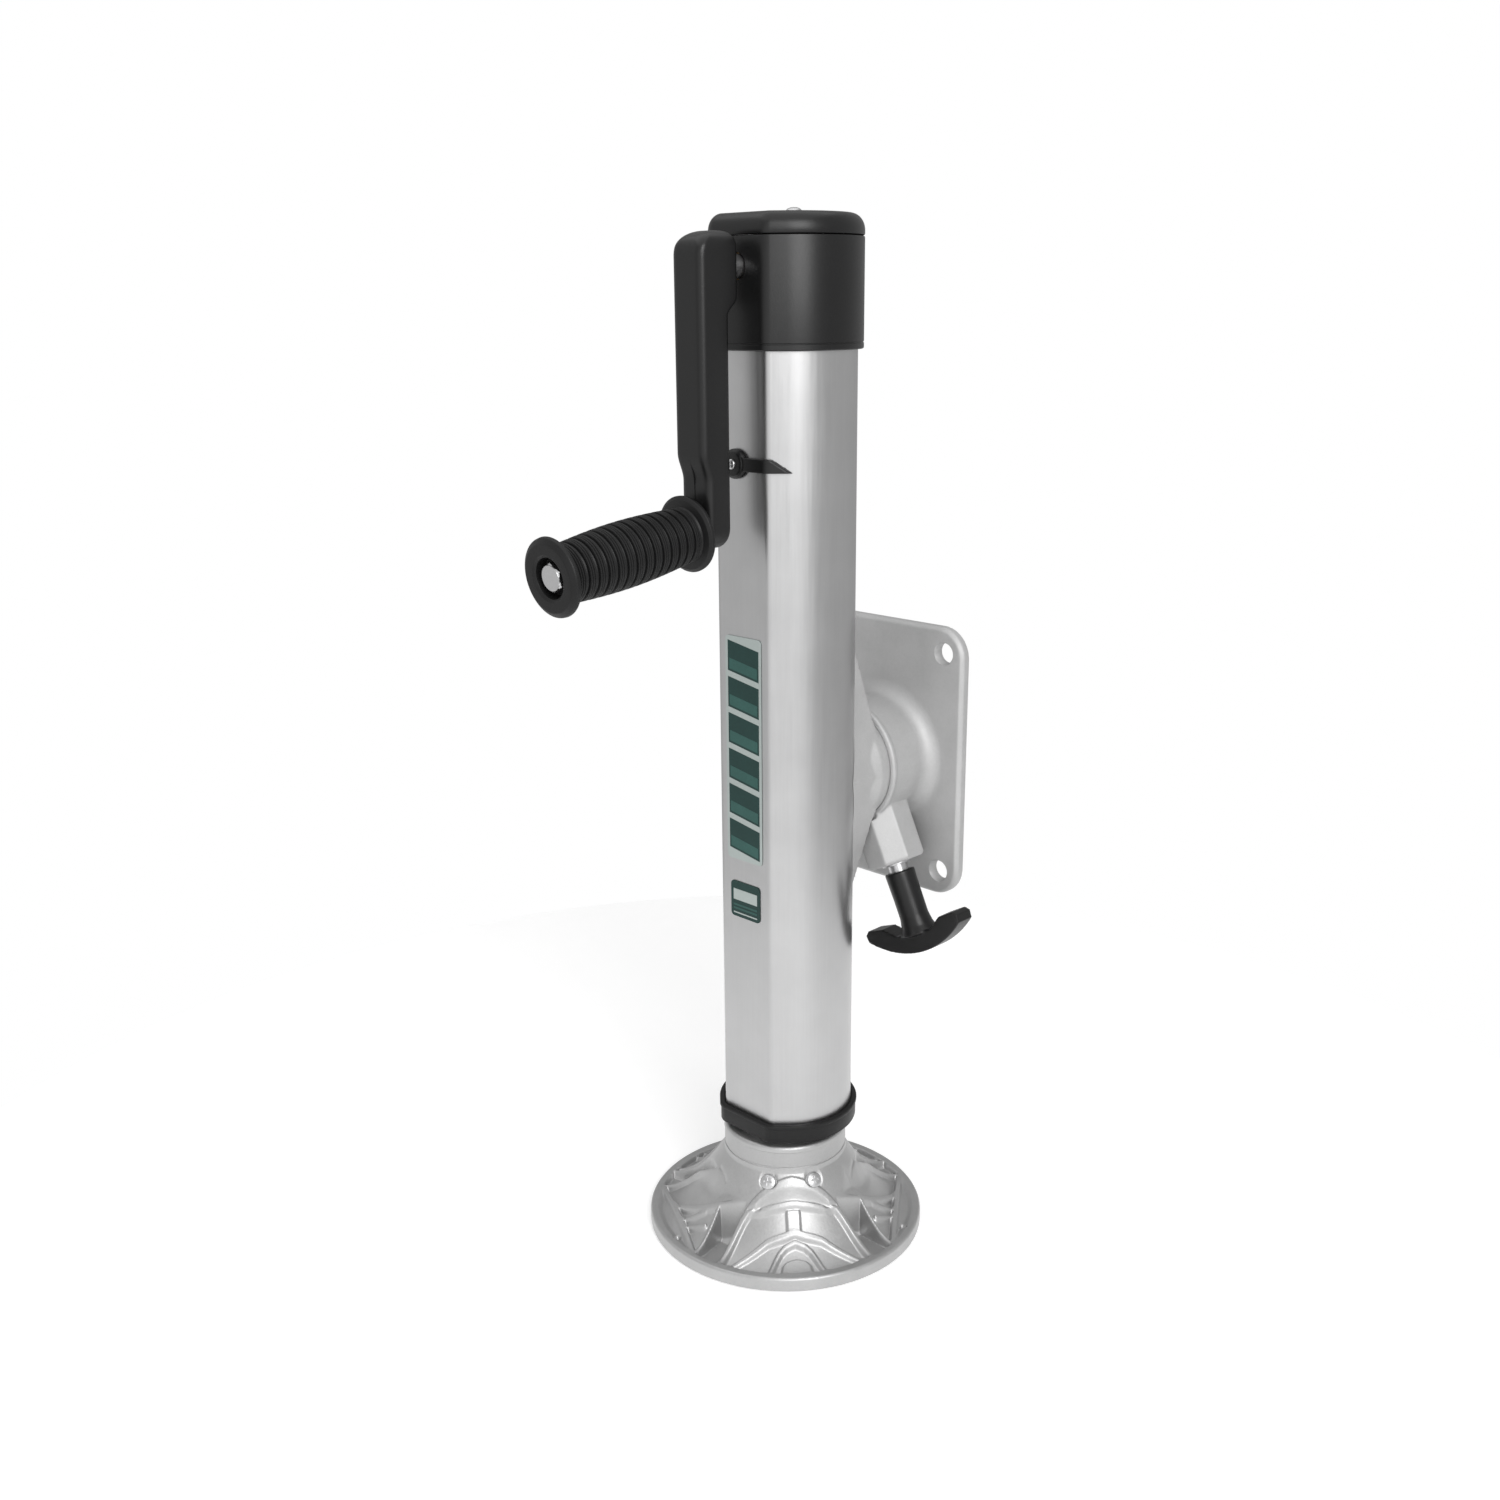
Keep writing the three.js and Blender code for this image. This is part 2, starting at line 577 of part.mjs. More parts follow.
// ---------------------------------------------------------------- outer tube and what it carries
function saddleScrewPlaces() {
  const signs = [[1, 1], [1, -1], [-1, 1], [-1, -1]];
  return signs.map(([up, side]) => {
    const turn = side * SADDLE_SCREW_SPREAD;
    const out = new THREE.Vector3(Math.cos(turn), Math.sin(turn), 0);
    const middle = new THREE.Vector3(TUBE_CENTRE_X, 0, PIVOT_Z + up * SADDLE_SCREW_Z);
    return along(middle.addScaledVector(out, TUBE_R - 4), out);
  });
}
const saddleScrewHole = (place) => hole(3.6, -1, 20, place);
const rivetHole = hole(2.6, FLAT_X - 8, FLAT_X + 8, alongX(...CLIP_PLACE));

const tubeBody = solid(extruded(dOutline(0), TUBE_BOTTOM, TUBE_TOP, [dOutline(-TUBE_WALL)]));
add('outer_tube', cut(tubeBody, rivetHole, ...saddleScrewPlaces().map(saddleScrewHole)), TUBE_ALUMINIUM);

const collarBody = solid(extruded(dOutline(COLLAR_OFFSET), ...COLLAR, [circle(0, 0, RAM_R + 0.5, 10)]));
const collarSeat = solid(extruded(dOutline(GAP), TUBE_BOTTOM - GAP, COLLAR[1] + 1));
add('bottom_collar', cut(collarBody, collarSeat), BLACK_RUBBER);

// A round base on the flat, with a pointed finger that wraps the tube's corner
function storageClip() {
  const [near, far] = [GAP, 2.8];
  const [low, high] = [CLIP_PLACE[1] - 4, CLIP_PLACE[1] + 3.8];
  const reach = 12;
  const turnEnd = 360 - SIDE_NORMAL;
  const slope = degToRad(turnEnd + 90);
  const band = (offset) => {
    const corner = arc(CORNER_X, -CORNER_Y, CORNER_R + offset, 180, turnEnd, 18);
    const end = corner[corner.length - 1];
    const tip = point2(end.x + reach * Math.cos(slope), end.y + reach * Math.sin(slope));
    return [point2(FLAT_X - offset, CLIP_PLACE[0]), ...corner, tip];
  };
  const finger = solid(extruded([...band(near), ...band(far).reverse()], low, high));
  const base = solid(rod(8.5, FLAT_X - 3.6, FLAT_X - GAP, 24), alongX(...CLIP_PLACE));
  const above = high + 0.2;
  const underTip = [point2(-31, low), point2(-45, low - 4), point2(-45, above), point2(-22, above)];
  return cut(join(base, finger), solid(extruded(underTip, -40, 0), FACING_X), rivetHole);
}
add('storage_clip', storageClip(), BLACK_PLASTIC);
const rivet = screw(2.9, 1.8, 2.3, 8).rotateX(Math.PI);
add('clip_rivet', rivet, ZINC_STEEL, alongX(...CLIP_PLACE).multiply(at(0, 0, FLAT_X - 3.9)));

// Printed film on the flat, a tall strip and a small badge
function film(halfY, halfZ, z) {
  const outline = roundedRect(halfY, halfZ, 2.5, 0, z);
  return extruded(outline, FLAT_X - 0.8, FLAT_X - GAP).applyMatrix4(FACING_X);
}
add('decal_strip', film(14.5, 69, 325), GREEN_PRINT);
add('decal_badge', film(12.2, 11.5, 230), GREEN_PRINT);

// ---------------------------------------------------------------- gear frame and cap
const FRONT_BUSH_R = 8.5;
const REAR_BUSH_R = 7.5;
const STRAP = [FRAME_TOP + GAP, FRAME_TOP + GAP + STRAP_THICKNESS];
const strapScrewPlaces = [FRAME_FRONT_X, FRAME_REAR_X].map((x) => at(x + FRAME_WALL / 2, 0, STRAP[1] + GAP));
const strapScrewHoles = strapScrewPlaces.map((place) => hole(1.8, -12, 5, place));

function gearFrame() {
  const base = solid(extruded(dOutline(-0.4), TUBE_TOP + GAP, TUBE_TOP + FRAME_BASE));
  const foot = TUBE_TOP + 1;
  const wall = (x) => solid(
    new THREE.BoxGeometry(FRAME_WALL, 2 * FRAME_HALF_WIDTH, FRAME_TOP - foot),
    at(x + FRAME_WALL / 2, 0, (FRAME_TOP + foot) / 2),
  );
  const journalHole = solid(rod(JOURNAL_R + 0.6, TUBE_TOP - 5, TUBE_TOP + 12));
  const frontHole = solid(rod(FRONT_BUSH_R + GAP, FRAME_FRONT_X - 5, FRAME_FRONT_X + 8), alongX(0, CRANK_Z));
  const rearHole = solid(rod(REAR_BUSH_R + GAP, FRAME_REAR_X - 5, FRAME_REAR_X + 8), alongX(0, CRANK_Z));
  const frame = join(base, wall(FRAME_FRONT_X), wall(FRAME_REAR_X));
  return cut(frame, journalHole, frontHole, rearHole, ...strapScrewHoles);
}
add('gear_frame', gearFrame(), ZINC_STEEL);

// A flanged bush through a wall, its flange on the side towards the gears
function flangedBush(bore, outer, start, step, end) {
  return turned([
    [bore, start], [outer, start], [outer, step], [outer + 1.5, step],
    [outer + 1.5, end], [bore, end], [bore, start],
  ]);
}
const frontBush = flangedBush(SHAFT_R + GAP, FRONT_BUSH_R, -33.9, -30.2, -29);
add('shaft_bush_front', frontBush, BRONZE, alongX(0, CRANK_Z));
const rearBush = flangedBush(SHAFT_STEP_R + GAP, REAR_BUSH_R, -32.3, -28.7, -27.4).rotateY(Math.PI);
add('shaft_bush_rear', rearBush, BRONZE, alongX(0, CRANK_Z));

const capScrewHole = hole(2.4, FRAME_TOP - 10, CAP_TOP + 10, at(CAP_SCREW_X, 0, 0));
const strapBody = solid(extruded(roundedRect(33, 8, 3, -0.7, 0), ...STRAP));
add('bridge_strap', cut(strapBody, capScrewHole, ...strapScrewHoles), ZINC_STEEL);
strapScrewPlaces.forEach((place, i) => {
  add(`strap_screw_${i + 1}`, screw(2.5, 1.8, 1.5, 8), ZINC_STEEL, place);
});

const capBody = solid(extruded(dOutline(CAP_OFFSET), CAP_BOTTOM, CAP_SEAM, [dOutline(0.4)]));
const capShaftHole = solid(rod(SHAFT_R + 0.8, FLAT_X - 10, FLAT_X + 10, 24), alongX(0, CRANK_Z));
add('cap_housing', cut(capBody, capShaftHole), BLACK_PLASTIC);

function capLid() {
  const bottom = CAP_SEAM + GAP;
  const outline = dOutline(CAP_OFFSET);
  const rounded = solid(extruded(outline, bottom - CAP_ROUND, CAP_TOP, [], CAP_ROUND));
  const above = solid(extruded(outline, bottom, CAP_TOP + 1));
  const hollow = solid(extruded(dOutline(0.9), bottom - 1, CAP_TOP - 3.4));
  return cut(rounded.intersect(above), hollow, capScrewHole);
}
add('cap_lid', capLid(), BLACK_PLASTIC);
const capScrewLength = CAP_TOP - FRAME_TOP + 5;
add('cap_screw', screw(4.6, 2.4, 2, capScrewLength), ZINC_STEEL, at(CAP_SCREW_X, 0, CAP_TOP + GAP));

// ---------------------------------------------------------------- swivel saddle
const pivotPlace = alongX(0, PIVOT_Z);
const plungerOut = new THREE.Vector3(0, -Math.sin(PLUNGER_LEAN), -Math.cos(PLUNGER_LEAN));
const plungerPlace = along(new THREE.Vector3(PLUNGER_X, 0, PIVOT_Z), plungerOut);

// A kite-shaped saddle on the tube, sloping up to a disc, the spindle and a threaded stud
function saddle() {
  const [wide, narrow, chamfer] = [35, 11, 3];
  const quarter = [[wide, 0], [narrow + chamfer, SADDLE_REACH - chamfer], [narrow, SADDLE_REACH]];
  const mirrored = (sy, sz) => quarter.map(([y, z]) => point2(sy * y, PIVOT_Z + sz * z));
  const kite = [
    ...mirrored(1, 1),
    ...mirrored(-1, 1).reverse(),
    ...mirrored(-1, -1).slice(1),
    ...mirrored(1, -1).slice(1).reverse(),
  ];
  const slope = turned([
    [0, 18], [SADDLE_REACH + 4, 18], [SADDLE_REACH + 4, 46], [42, 52], [35, 55.5], [0, 55.5],
  ], 32);
  const wings = solid(extruded(kite, 18, 60), FACING_X).intersect(solid(slope, pivotPlace));
  const stem = solid(turned([
    [0, 40], [DISC_R - 4, 40], [DISC_R, 50], [DISC_R, 62], [SPINDLE_R, 62], [SPINDLE_R, 79.5],
    [STUD_R, 79.5], [STUD_R, 97.5], [0, 97.5],
  ], 32), pivotPlace);
  const detents = Array.from({ length: 4 }, (_, i) => {
    const turn = new THREE.Matrix4().makeRotationAxis(new THREE.Vector3(1, 0, 0), (i * Math.PI) / 2);
    const out = plungerOut.clone().applyMatrix4(turn);
    return hole(PLUNGER_R + 0.6, 17, 30, along(new THREE.Vector3(PLUNGER_X, 0, PIVOT_Z), out));
  });
  const tubeSpace = solid(extruded(dOutline(GAP), PIVOT_Z - 120, PIVOT_Z + 120));
  const recesses = saddleScrewPlaces().map((place) => solid(rod(6.6, 7.6, 30, 16), place));
  const screwHoles = saddleScrewPlaces().map(saddleScrewHole);
  return cut(join(wings, stem), tubeSpace, ...detents, ...screwHoles, ...recesses);
}
add('swivel_saddle', saddle(), CAST_ALUMINIUM);
saddleScrewPlaces().forEach((place, i) => {
  add(`saddle_screw_${i + 1}`, screw(6, 3, 3.2, 7).translate(0, 0, 7.9), ZINC_STEEL, place);
});
add('swivel_washer', ring(21, STUD_R + 0.5, 86.3, 88.8), ZINC_STEEL, pivotPlace);
const nutBody = solid(rod(20, 89.1, 97, 6));
add('swivel_nut', cut(nutBody, solid(rod(STUD_R + 0.4, 85, 100, 24))), ZINC_STEEL, pivotPlace);

// ---------------------------------------------------------------- bracket casting
function bracket() {
  const [face, back] = PLATE_X;
  const outline = roundedRect(...PLATE_HALF, PLATE_CORNER, 0, PIVOT_Z);
  const bevelled = solid(extruded(outline, face, back + PLATE_BEVEL, [], PLATE_BEVEL), FACING_X);
  const behind = solid(extruded(outline, back, back + 10), FACING_X);
  const fillet = arc(face - HUB_FILLET, HUB_R + HUB_FILLET, HUB_FILLET, -90, 0, 30).map((p) => [p.y, p.x]);
  const hub = solid(turned([
    [0, HUB_FRONT_X], [HUB_R - 1, HUB_FRONT_X], [HUB_R, HUB_FRONT_X + 1], ...fillet,
    [HUB_R + HUB_FILLET, face + 1], [0, face + 1],
  ], 36), pivotPlace);
  const cornerR = BOSS_FLATS / 2 / Math.cos(Math.PI / 8);
  const bossShape = turned([
    [0, 30], [cornerR, 30], [cornerR, BOSS_END - 2], [BOSS_FLATS / 2, BOSS_END], [0, BOSS_END],
  ], 8);
  const discSpace = solid(rod(HUB_R + 1.5, 40, HUB_FRONT_X, 36), pivotPlace);
  const boss = cut(solid(bossShape.rotateZ(Math.PI / 8), plungerPlace), discSpace);
  const bores = [
    rod(DISC_R + 0.4, HUB_FRONT_X - 10, 62.5, 36),
    rod(SPINDLE_R + 0.4, 60, 80, 32),
    rod(STUD_R + 0.7, 78, 90),
    rod(24, 86, back + 5, 28),
  ].map((bore) => solid(bore, pivotPlace));
  const signs = [[1, 1], [1, -1], [-1, 1], [-1, -1]];
  const boltHoles = signs.map(([sy, sz]) => {
    const place = alongX(sy * BOLT_HALF_SPACING[0], PIVOT_Z + sz * BOLT_HALF_SPACING[1]);
    return solid(rod(BOLT_HOLE_R, face - 10, back + 10), place);
  });
  const pinBore = solid(rod(9.8, 20, BOSS_END + 5), plungerPlace);
  return cut(join(cut(bevelled, behind), hub, boss), ...bores, ...boltHoles, pinBore);
}
add('bracket_casting', bracket(), CAST_ALUMINIUM);

// ---------------------------------------------------------------- spring plunger
const handlePinPlace = plungerPlace.clone().multiply(at(0, 0, HANDLE_PIN)).multiply(ALONG_X);
const handlePinHole = hole(1.8, -14, 14, handlePinPlace);

function plungerPin() {
  const seatR = 9.2;
  const end = HANDLE_START + 24;
  const pin = turned([
    [0, PLUNGER_TIP], [PLUNGER_R - 1.5, PLUNGER_TIP], [PLUNGER_R, PLUNGER_TIP + 1.6], [PLUNGER_R, SEAT[0]],
    [seatR, SEAT[0]], [seatR, SEAT[1]], [PLUNGER_R, SEAT[1]], [PLUNGER_R, end], [0, end],
  ], 20);
  return cut(solid(pin, plungerPlace), handlePinHole);
}
add('plunger_pin', plungerPin(), ZINC_STEEL);
add('handle_pin', rod(1.5, -8.6, 8.6, 12), ZINC_STEEL, handlePinPlace);
add('plunger_plug', ring(9.5, PLUNGER_R + 0.4, 64, BOSS_END + 1.5), ZINC_STEEL, plungerPlace);

function spring() {
  const [turns, perTurn, coilR, wireR] = [5, 10, 8, 0.8];
  const [low, high] = [SEAT[1] + 1.2, 62.8];
  const steps = turns * perTurn;
  const points = Array.from({ length: steps + 1 }, (_, i) => {
    const angle = (2 * Math.PI * i) / perTurn;
    const height = low + ((high - low) * i) / steps;
    return new THREE.Vector3(coilR * Math.cos(angle), coilR * Math.sin(angle), height);
  });
  return new THREE.ExtrudeGeometry(new THREE.Shape(circle(0, 0, wireR, 60)), {
    steps,
    extrudePath: new THREE.CatmullRomCurve3(points),
    bevelEnabled: false,
  });
}
add('plunger_spring', spring(), ZINC_STEEL, plungerPlace);

// A sleeve on the pin, ending in a bar with a bowed underside and two finger wings
function tHandle() {
  const [bar, sag, halfBow] = [130, 68, 36];
  const wing = [[-40.5, 112], [-37.5, 109.5], [-25, 110.5], [-15, 117]];
  const outline = [
    ...arc(0, bar - sag, sag, 90 - halfBow, 90 + halfBow, 8),
    ...wing.map(([across, out]) => point2(across, out)),
    ...wing.map(([across, out]) => point2(-across, out)).reverse(),
  ];
  const across = new THREE.Vector3().crossVectors(plungerOut, new THREE.Vector3(1, 0, 0)).normalize();
  const through = new THREE.Vector3().crossVectors(across, plungerOut);
  const facing = new THREE.Matrix4().makeBasis(across, plungerOut, through);
  const wings = solid(extruded(outline, -7, 7, [], 2.5), facing.setPosition(PLUNGER_X, 0, PIVOT_Z));
  const sleeve = solid(turned([
    [0, HANDLE_START], [9.2, HANDLE_START], [9.8, HANDLE_START + 1], [9.2, HANDLE_START + 32],
    [11, HANDLE_START + 40], [0, HANDLE_START + 42],
  ]), plungerPlace);
  const bore = solid(rod(PLUNGER_R + GAP, HANDLE_START - 5, HANDLE_START + 24.5), plungerPlace);
  return cut(join(sleeve, wings), bore, handlePinHole);
}
add('t_handle', tHandle(), BLACK_PLASTIC);

export default group;
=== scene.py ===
import json
import math

import bmesh
import bpy
import numpy as np
from mathutils import Matrix, Vector


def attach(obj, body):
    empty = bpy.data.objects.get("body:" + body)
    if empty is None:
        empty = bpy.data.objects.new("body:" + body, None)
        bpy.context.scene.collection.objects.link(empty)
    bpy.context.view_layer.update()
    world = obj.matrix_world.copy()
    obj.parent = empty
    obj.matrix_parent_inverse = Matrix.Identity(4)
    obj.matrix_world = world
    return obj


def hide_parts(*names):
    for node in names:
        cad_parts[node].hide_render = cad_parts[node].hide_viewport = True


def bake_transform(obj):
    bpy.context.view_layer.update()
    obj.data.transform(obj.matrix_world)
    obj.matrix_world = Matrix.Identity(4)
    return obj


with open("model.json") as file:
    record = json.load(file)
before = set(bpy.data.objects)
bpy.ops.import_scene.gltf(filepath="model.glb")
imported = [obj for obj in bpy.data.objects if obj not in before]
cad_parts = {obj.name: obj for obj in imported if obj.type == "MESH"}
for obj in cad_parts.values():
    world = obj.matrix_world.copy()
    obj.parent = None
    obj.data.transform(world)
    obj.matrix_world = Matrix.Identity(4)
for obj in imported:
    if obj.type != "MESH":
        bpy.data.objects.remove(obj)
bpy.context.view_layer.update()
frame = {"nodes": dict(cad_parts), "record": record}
scene = bpy.context.scene

MM = 0.001
DEG = math.pi / 180

# ------------------------------------------------------------------ sizes, in millimetres
TUBE_CENTRE, TUBE_R = 3.0, 40.5
FLAT_X, CORNER_X, CORNER_Y, CORNER_R = -34.0, -28.0, 17.5, 6.0
SIDE_NORMAL = 136.3
PIVOT_Z, CRANK_Z = 299.0, 600.0
GRIP_PIVOT = Vector((-62.0, 0.0, 460.7))
GRIP_DROOP = 7.4 * DEG
PLUNGER_X, PLUNGER_LEAN = 72.0, 25.6 * DEG
FOOT_R, RIM_INNER_R, NECK_R = 88.9, 83.5, 39.3
RIM_Z, NECK_BOTTOM, NECK_TOP = 9.0, 54.0, 70.0
FRONT_PETAL = 229.0
RAM_R, RAM_BORE_R, RAM_BOTTOM, RAM_TOP = 30, 27, 24.5, 455
TUBE_WALL, TUBE_BOTTOM, TUBE_TOP = 3, 79, 562
CAP_WALL, CAP_BOTTOM, CAP_TOP = 3.3, 555.4, 616
LID_BOTTOM, LID_EDGE_R, LID_RISE = 616.3, 8, 9.3
SHAFT_R, PIN_HOLE_R, PINION_PIN_X, CRANK_PIN_X = 6.5, 2.8, -26.6, -61
GRIP_START, GRIP_LENGTH = 11.9, 101.7
SADDLE_SCREW_UP, SADDLE_SCREW_SPREAD = 68, 13
PLATE_FACE, PLATE_BACK, PLATE_CORNER_R = 93.6, 100.6, 19
PLATE_HALF_Y, PLATE_HALF_Z = 62.4, 87.7
BOLT_HALF_Y, BOLT_HALF_Z, BOLT_HOLE_R = 47.63, 71.44, 6.75
HUB_R, HUB_FILLET = 39.1, 10
BOSS_HALF_FLATS, BOSS_END = 18.5, 71
PLUNGER_R, SEAT_R, SEAT_LOW, SEAT_HIGH, HANDLE_PIN_AT = 6, 9.2, 36, 38.5, 92


# ------------------------------------------------------------------ building meshes
def raw_object(name, points, faces):
    """An object from points in millimetres, with its normals outward."""
    mesh = bpy.data.meshes.new(name)
    mesh.from_pydata([tuple(c * MM for c in p) for p in points], [], faces)
    work = bmesh.new()
    work.from_mesh(mesh)
    bmesh.ops.remove_doubles(work, verts=work.verts, dist=1e-7)
    bmesh.ops.recalc_face_normals(work, faces=work.faces)
    work.to_mesh(mesh)
    work.free()
    thing = bpy.data.objects.new(name, mesh)
    scene.collection.objects.link(thing)
    return thing


def finished(thing, material, body, nodes, sharp=32):
    """Smooth shading with sharp edges kept, the material, and the piece's place in the frame.

    A piece with no body is left without a parent.
    """
    mesh = thing.data
    mesh.polygons.foreach_set("use_smooth", [True] * len(mesh.polygons))
    mesh.set_sharp_from_angle(angle=sharp * DEG)
    if not mesh.materials:
        mesh.materials.append(material)
    if body:
        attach(thing, body)
    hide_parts(*nodes)
    return thing


def lofted(rings, closed=False):
    """Points and faces of rings of equal count joined in order, with caps at the ends unless closed."""
    count = len(rings[0])
    points = [p for ring in rings for p in ring]
    faces = []
    last = len(rings) if closed else len(rings) - 1
    for i in range(last):
        low, high = i * count, ((i + 1) % len(rings)) * count
        for k in range(count):
            n = (k + 1) % count
            faces.append((low + k, low + n, high + n, high + k))
    if not closed:
        faces.append(tuple(range(count))[::-1])
        faces.append(tuple(range((len(rings) - 1) * count, len(rings) * count)))
    return points, faces


def turned(profile, sides=96, place=Matrix()):
    """A profile of (radius, height) turned about Z. It runs from axis to axis, or is a closed loop."""
    loop = profile[0] == profile[-1]
    steps = profile[:-1] if loop else profile
    rings = []
    for radius, height in steps:
        radius = max(radius, 0.002)
        rings.append([
            place @ Vector((radius * math.cos(a), radius * math.sin(a), height))
            for a in (2 * math.pi * k / sides for k in range(sides))
        ])
    return lofted(rings, closed=loop)


def prism(outline, low, high, to_space):
    """An outline of (u, v) swept from depth low to high. to_space(u, v, w) gives a point."""
    rings = [[to_space(u, v, w) for u, v in outline] for w in (low, high)]
    return lofted(rings)


def facing_x(u, v, w):
    """An outline in (y, z), swept along X."""
    return Vector((w, u, v))


def facing_z(u, v, w):
    """An outline in (x, y), swept along Z."""
    return Vector((u, v, w))


def merged(*parts):
    """The points and faces of several shapes as one."""
    points, faces = [], []
    for some_points, some_faces in parts:
        start = len(points)
        points += list(some_points)
        faces += [tuple(start + i for i in face) for face in some_faces]
    return points, faces


def arc(cx, cy, radius, start, end, steps=8):
    """Points of an arc, in degrees."""
    turns = [(start + (end - start) * i / steps) * DEG for i in range(steps + 1)]
    return [(cx + radius * math.cos(t), cy + radius * math.sin(t)) for t in turns]


def eased(corners, steps=5):
    """A polyline whose corners (u, v, radius) are rounded."""
    result = []
    for i, (u, v, radius) in enumerate(corners):
        if radius <= 0 or i in (0, len(corners) - 1):
            result.append((u, v))
            continue
        here = Vector((u, v))
        to_last = (Vector(corners[i - 1][:2]) - here).normalized()
        to_next = (Vector(corners[i + 1][:2]) - here).normalized()
        half = to_last.angle(to_next) / 2
        reach = radius / math.tan(half)
        start, end = here + to_last * reach, here + to_next * reach
        for k in range(steps + 1):
            t = k / steps
            middle = start.lerp(here, t).lerp(here.lerp(end, t), t)
            result.append(tuple(middle))
    return result


def bake(thing):
    """Applies the modifiers of an object."""
    bpy.context.view_layer.update()
    graph = bpy.context.evaluated_depsgraph_get()
    mesh = bpy.data.meshes.new_from_object(thing.evaluated_get(graph))
    thing.modifiers.clear()
    thing.data = mesh


def cut(thing, *shapes):
    """Takes each shape out of an object."""
    tools = []
    for i, shape in enumerate(shapes):
        tool = raw_object(f"{thing.name}_cut_{i}", *shape)
        step = thing.modifiers.new(f"cut_{i}", "BOOLEAN")
        step.operation = "DIFFERENCE"
        step.solver = "EXACT"
        step.object = tool
        tools.append(tool)
    bake(thing)
    for tool in tools:
        bpy.data.objects.remove(tool)
    return thing


def melted(thing, voxel_mm, passes):
    """Joins overlapping shells into one skin and softens its edges, as casting or moulding does."""
    step = thing.modifiers.new("skin", "REMESH")
    step.mode = "VOXEL"
    step.voxel_size = voxel_mm * MM
    soft = thing.modifiers.new("soften", "SMOOTH")
    soft.factor = 0.5
    soft.iterations = passes
    bake(thing)
    return thing


def along(point, direction):
    """A placement whose Z runs along a direction from a point."""
    turn = Vector(direction).normalized().to_track_quat("Z", "Y").to_matrix().to_4x4()
    return Matrix.Translation(Vector(point)) @ turn


def rod(radius, low, high, place, sides=64):
    """A cylinder along a placement's Z."""
    return turned([(0, low), (radius, low), (radius, high), (0, high)], sides, place)


def d_ring(offset, z):
    """The tube's D outline, moved out by an offset, at a height."""
    points = arc(TUBE_CENTRE, 0, TUBE_R + offset, -SIDE_NORMAL, SIDE_NORMAL, 96)
    points += arc(CORNER_X, CORNER_Y, CORNER_R + offset, SIDE_NORMAL, 180, 10)
    points += arc(CORNER_X, -CORNER_Y, CORNER_R + offset, 180, 360 - SIDE_NORMAL, 10)
    return [Vector((x, y, z)) for x, y in points]


def rounded_corners(half_y, half_z, z_middle, corner, radius, steps):
    """A (y, z) rectangle's outline, its corner arcs of any radius about the same centres."""
    outline = []
    for sy, sz, start in ((1, 1, 0), (-1, 1, 90), (-1, -1, 180), (1, -1, 270)):
        cy, cz = sy * (half_y - corner), z_middle + sz * (half_z - corner)
        outline += arc(cy, cz, radius, start, start + 90, steps)
    return outline


def round_ring(radius, z):
    """A circle whose points face those of the D outline."""
    result = []
    for p in d_ring(0, z):
        a = math.atan2(p.y, p.x)
        result.append(Vector((radius * math.cos(a), radius * math.sin(a), z)))
    return result


# ------------------------------------------------------------------ materials
PATCH_SCALE = 45
NOISE_LOW, NOISE_HIGH = 0.3, 0.7


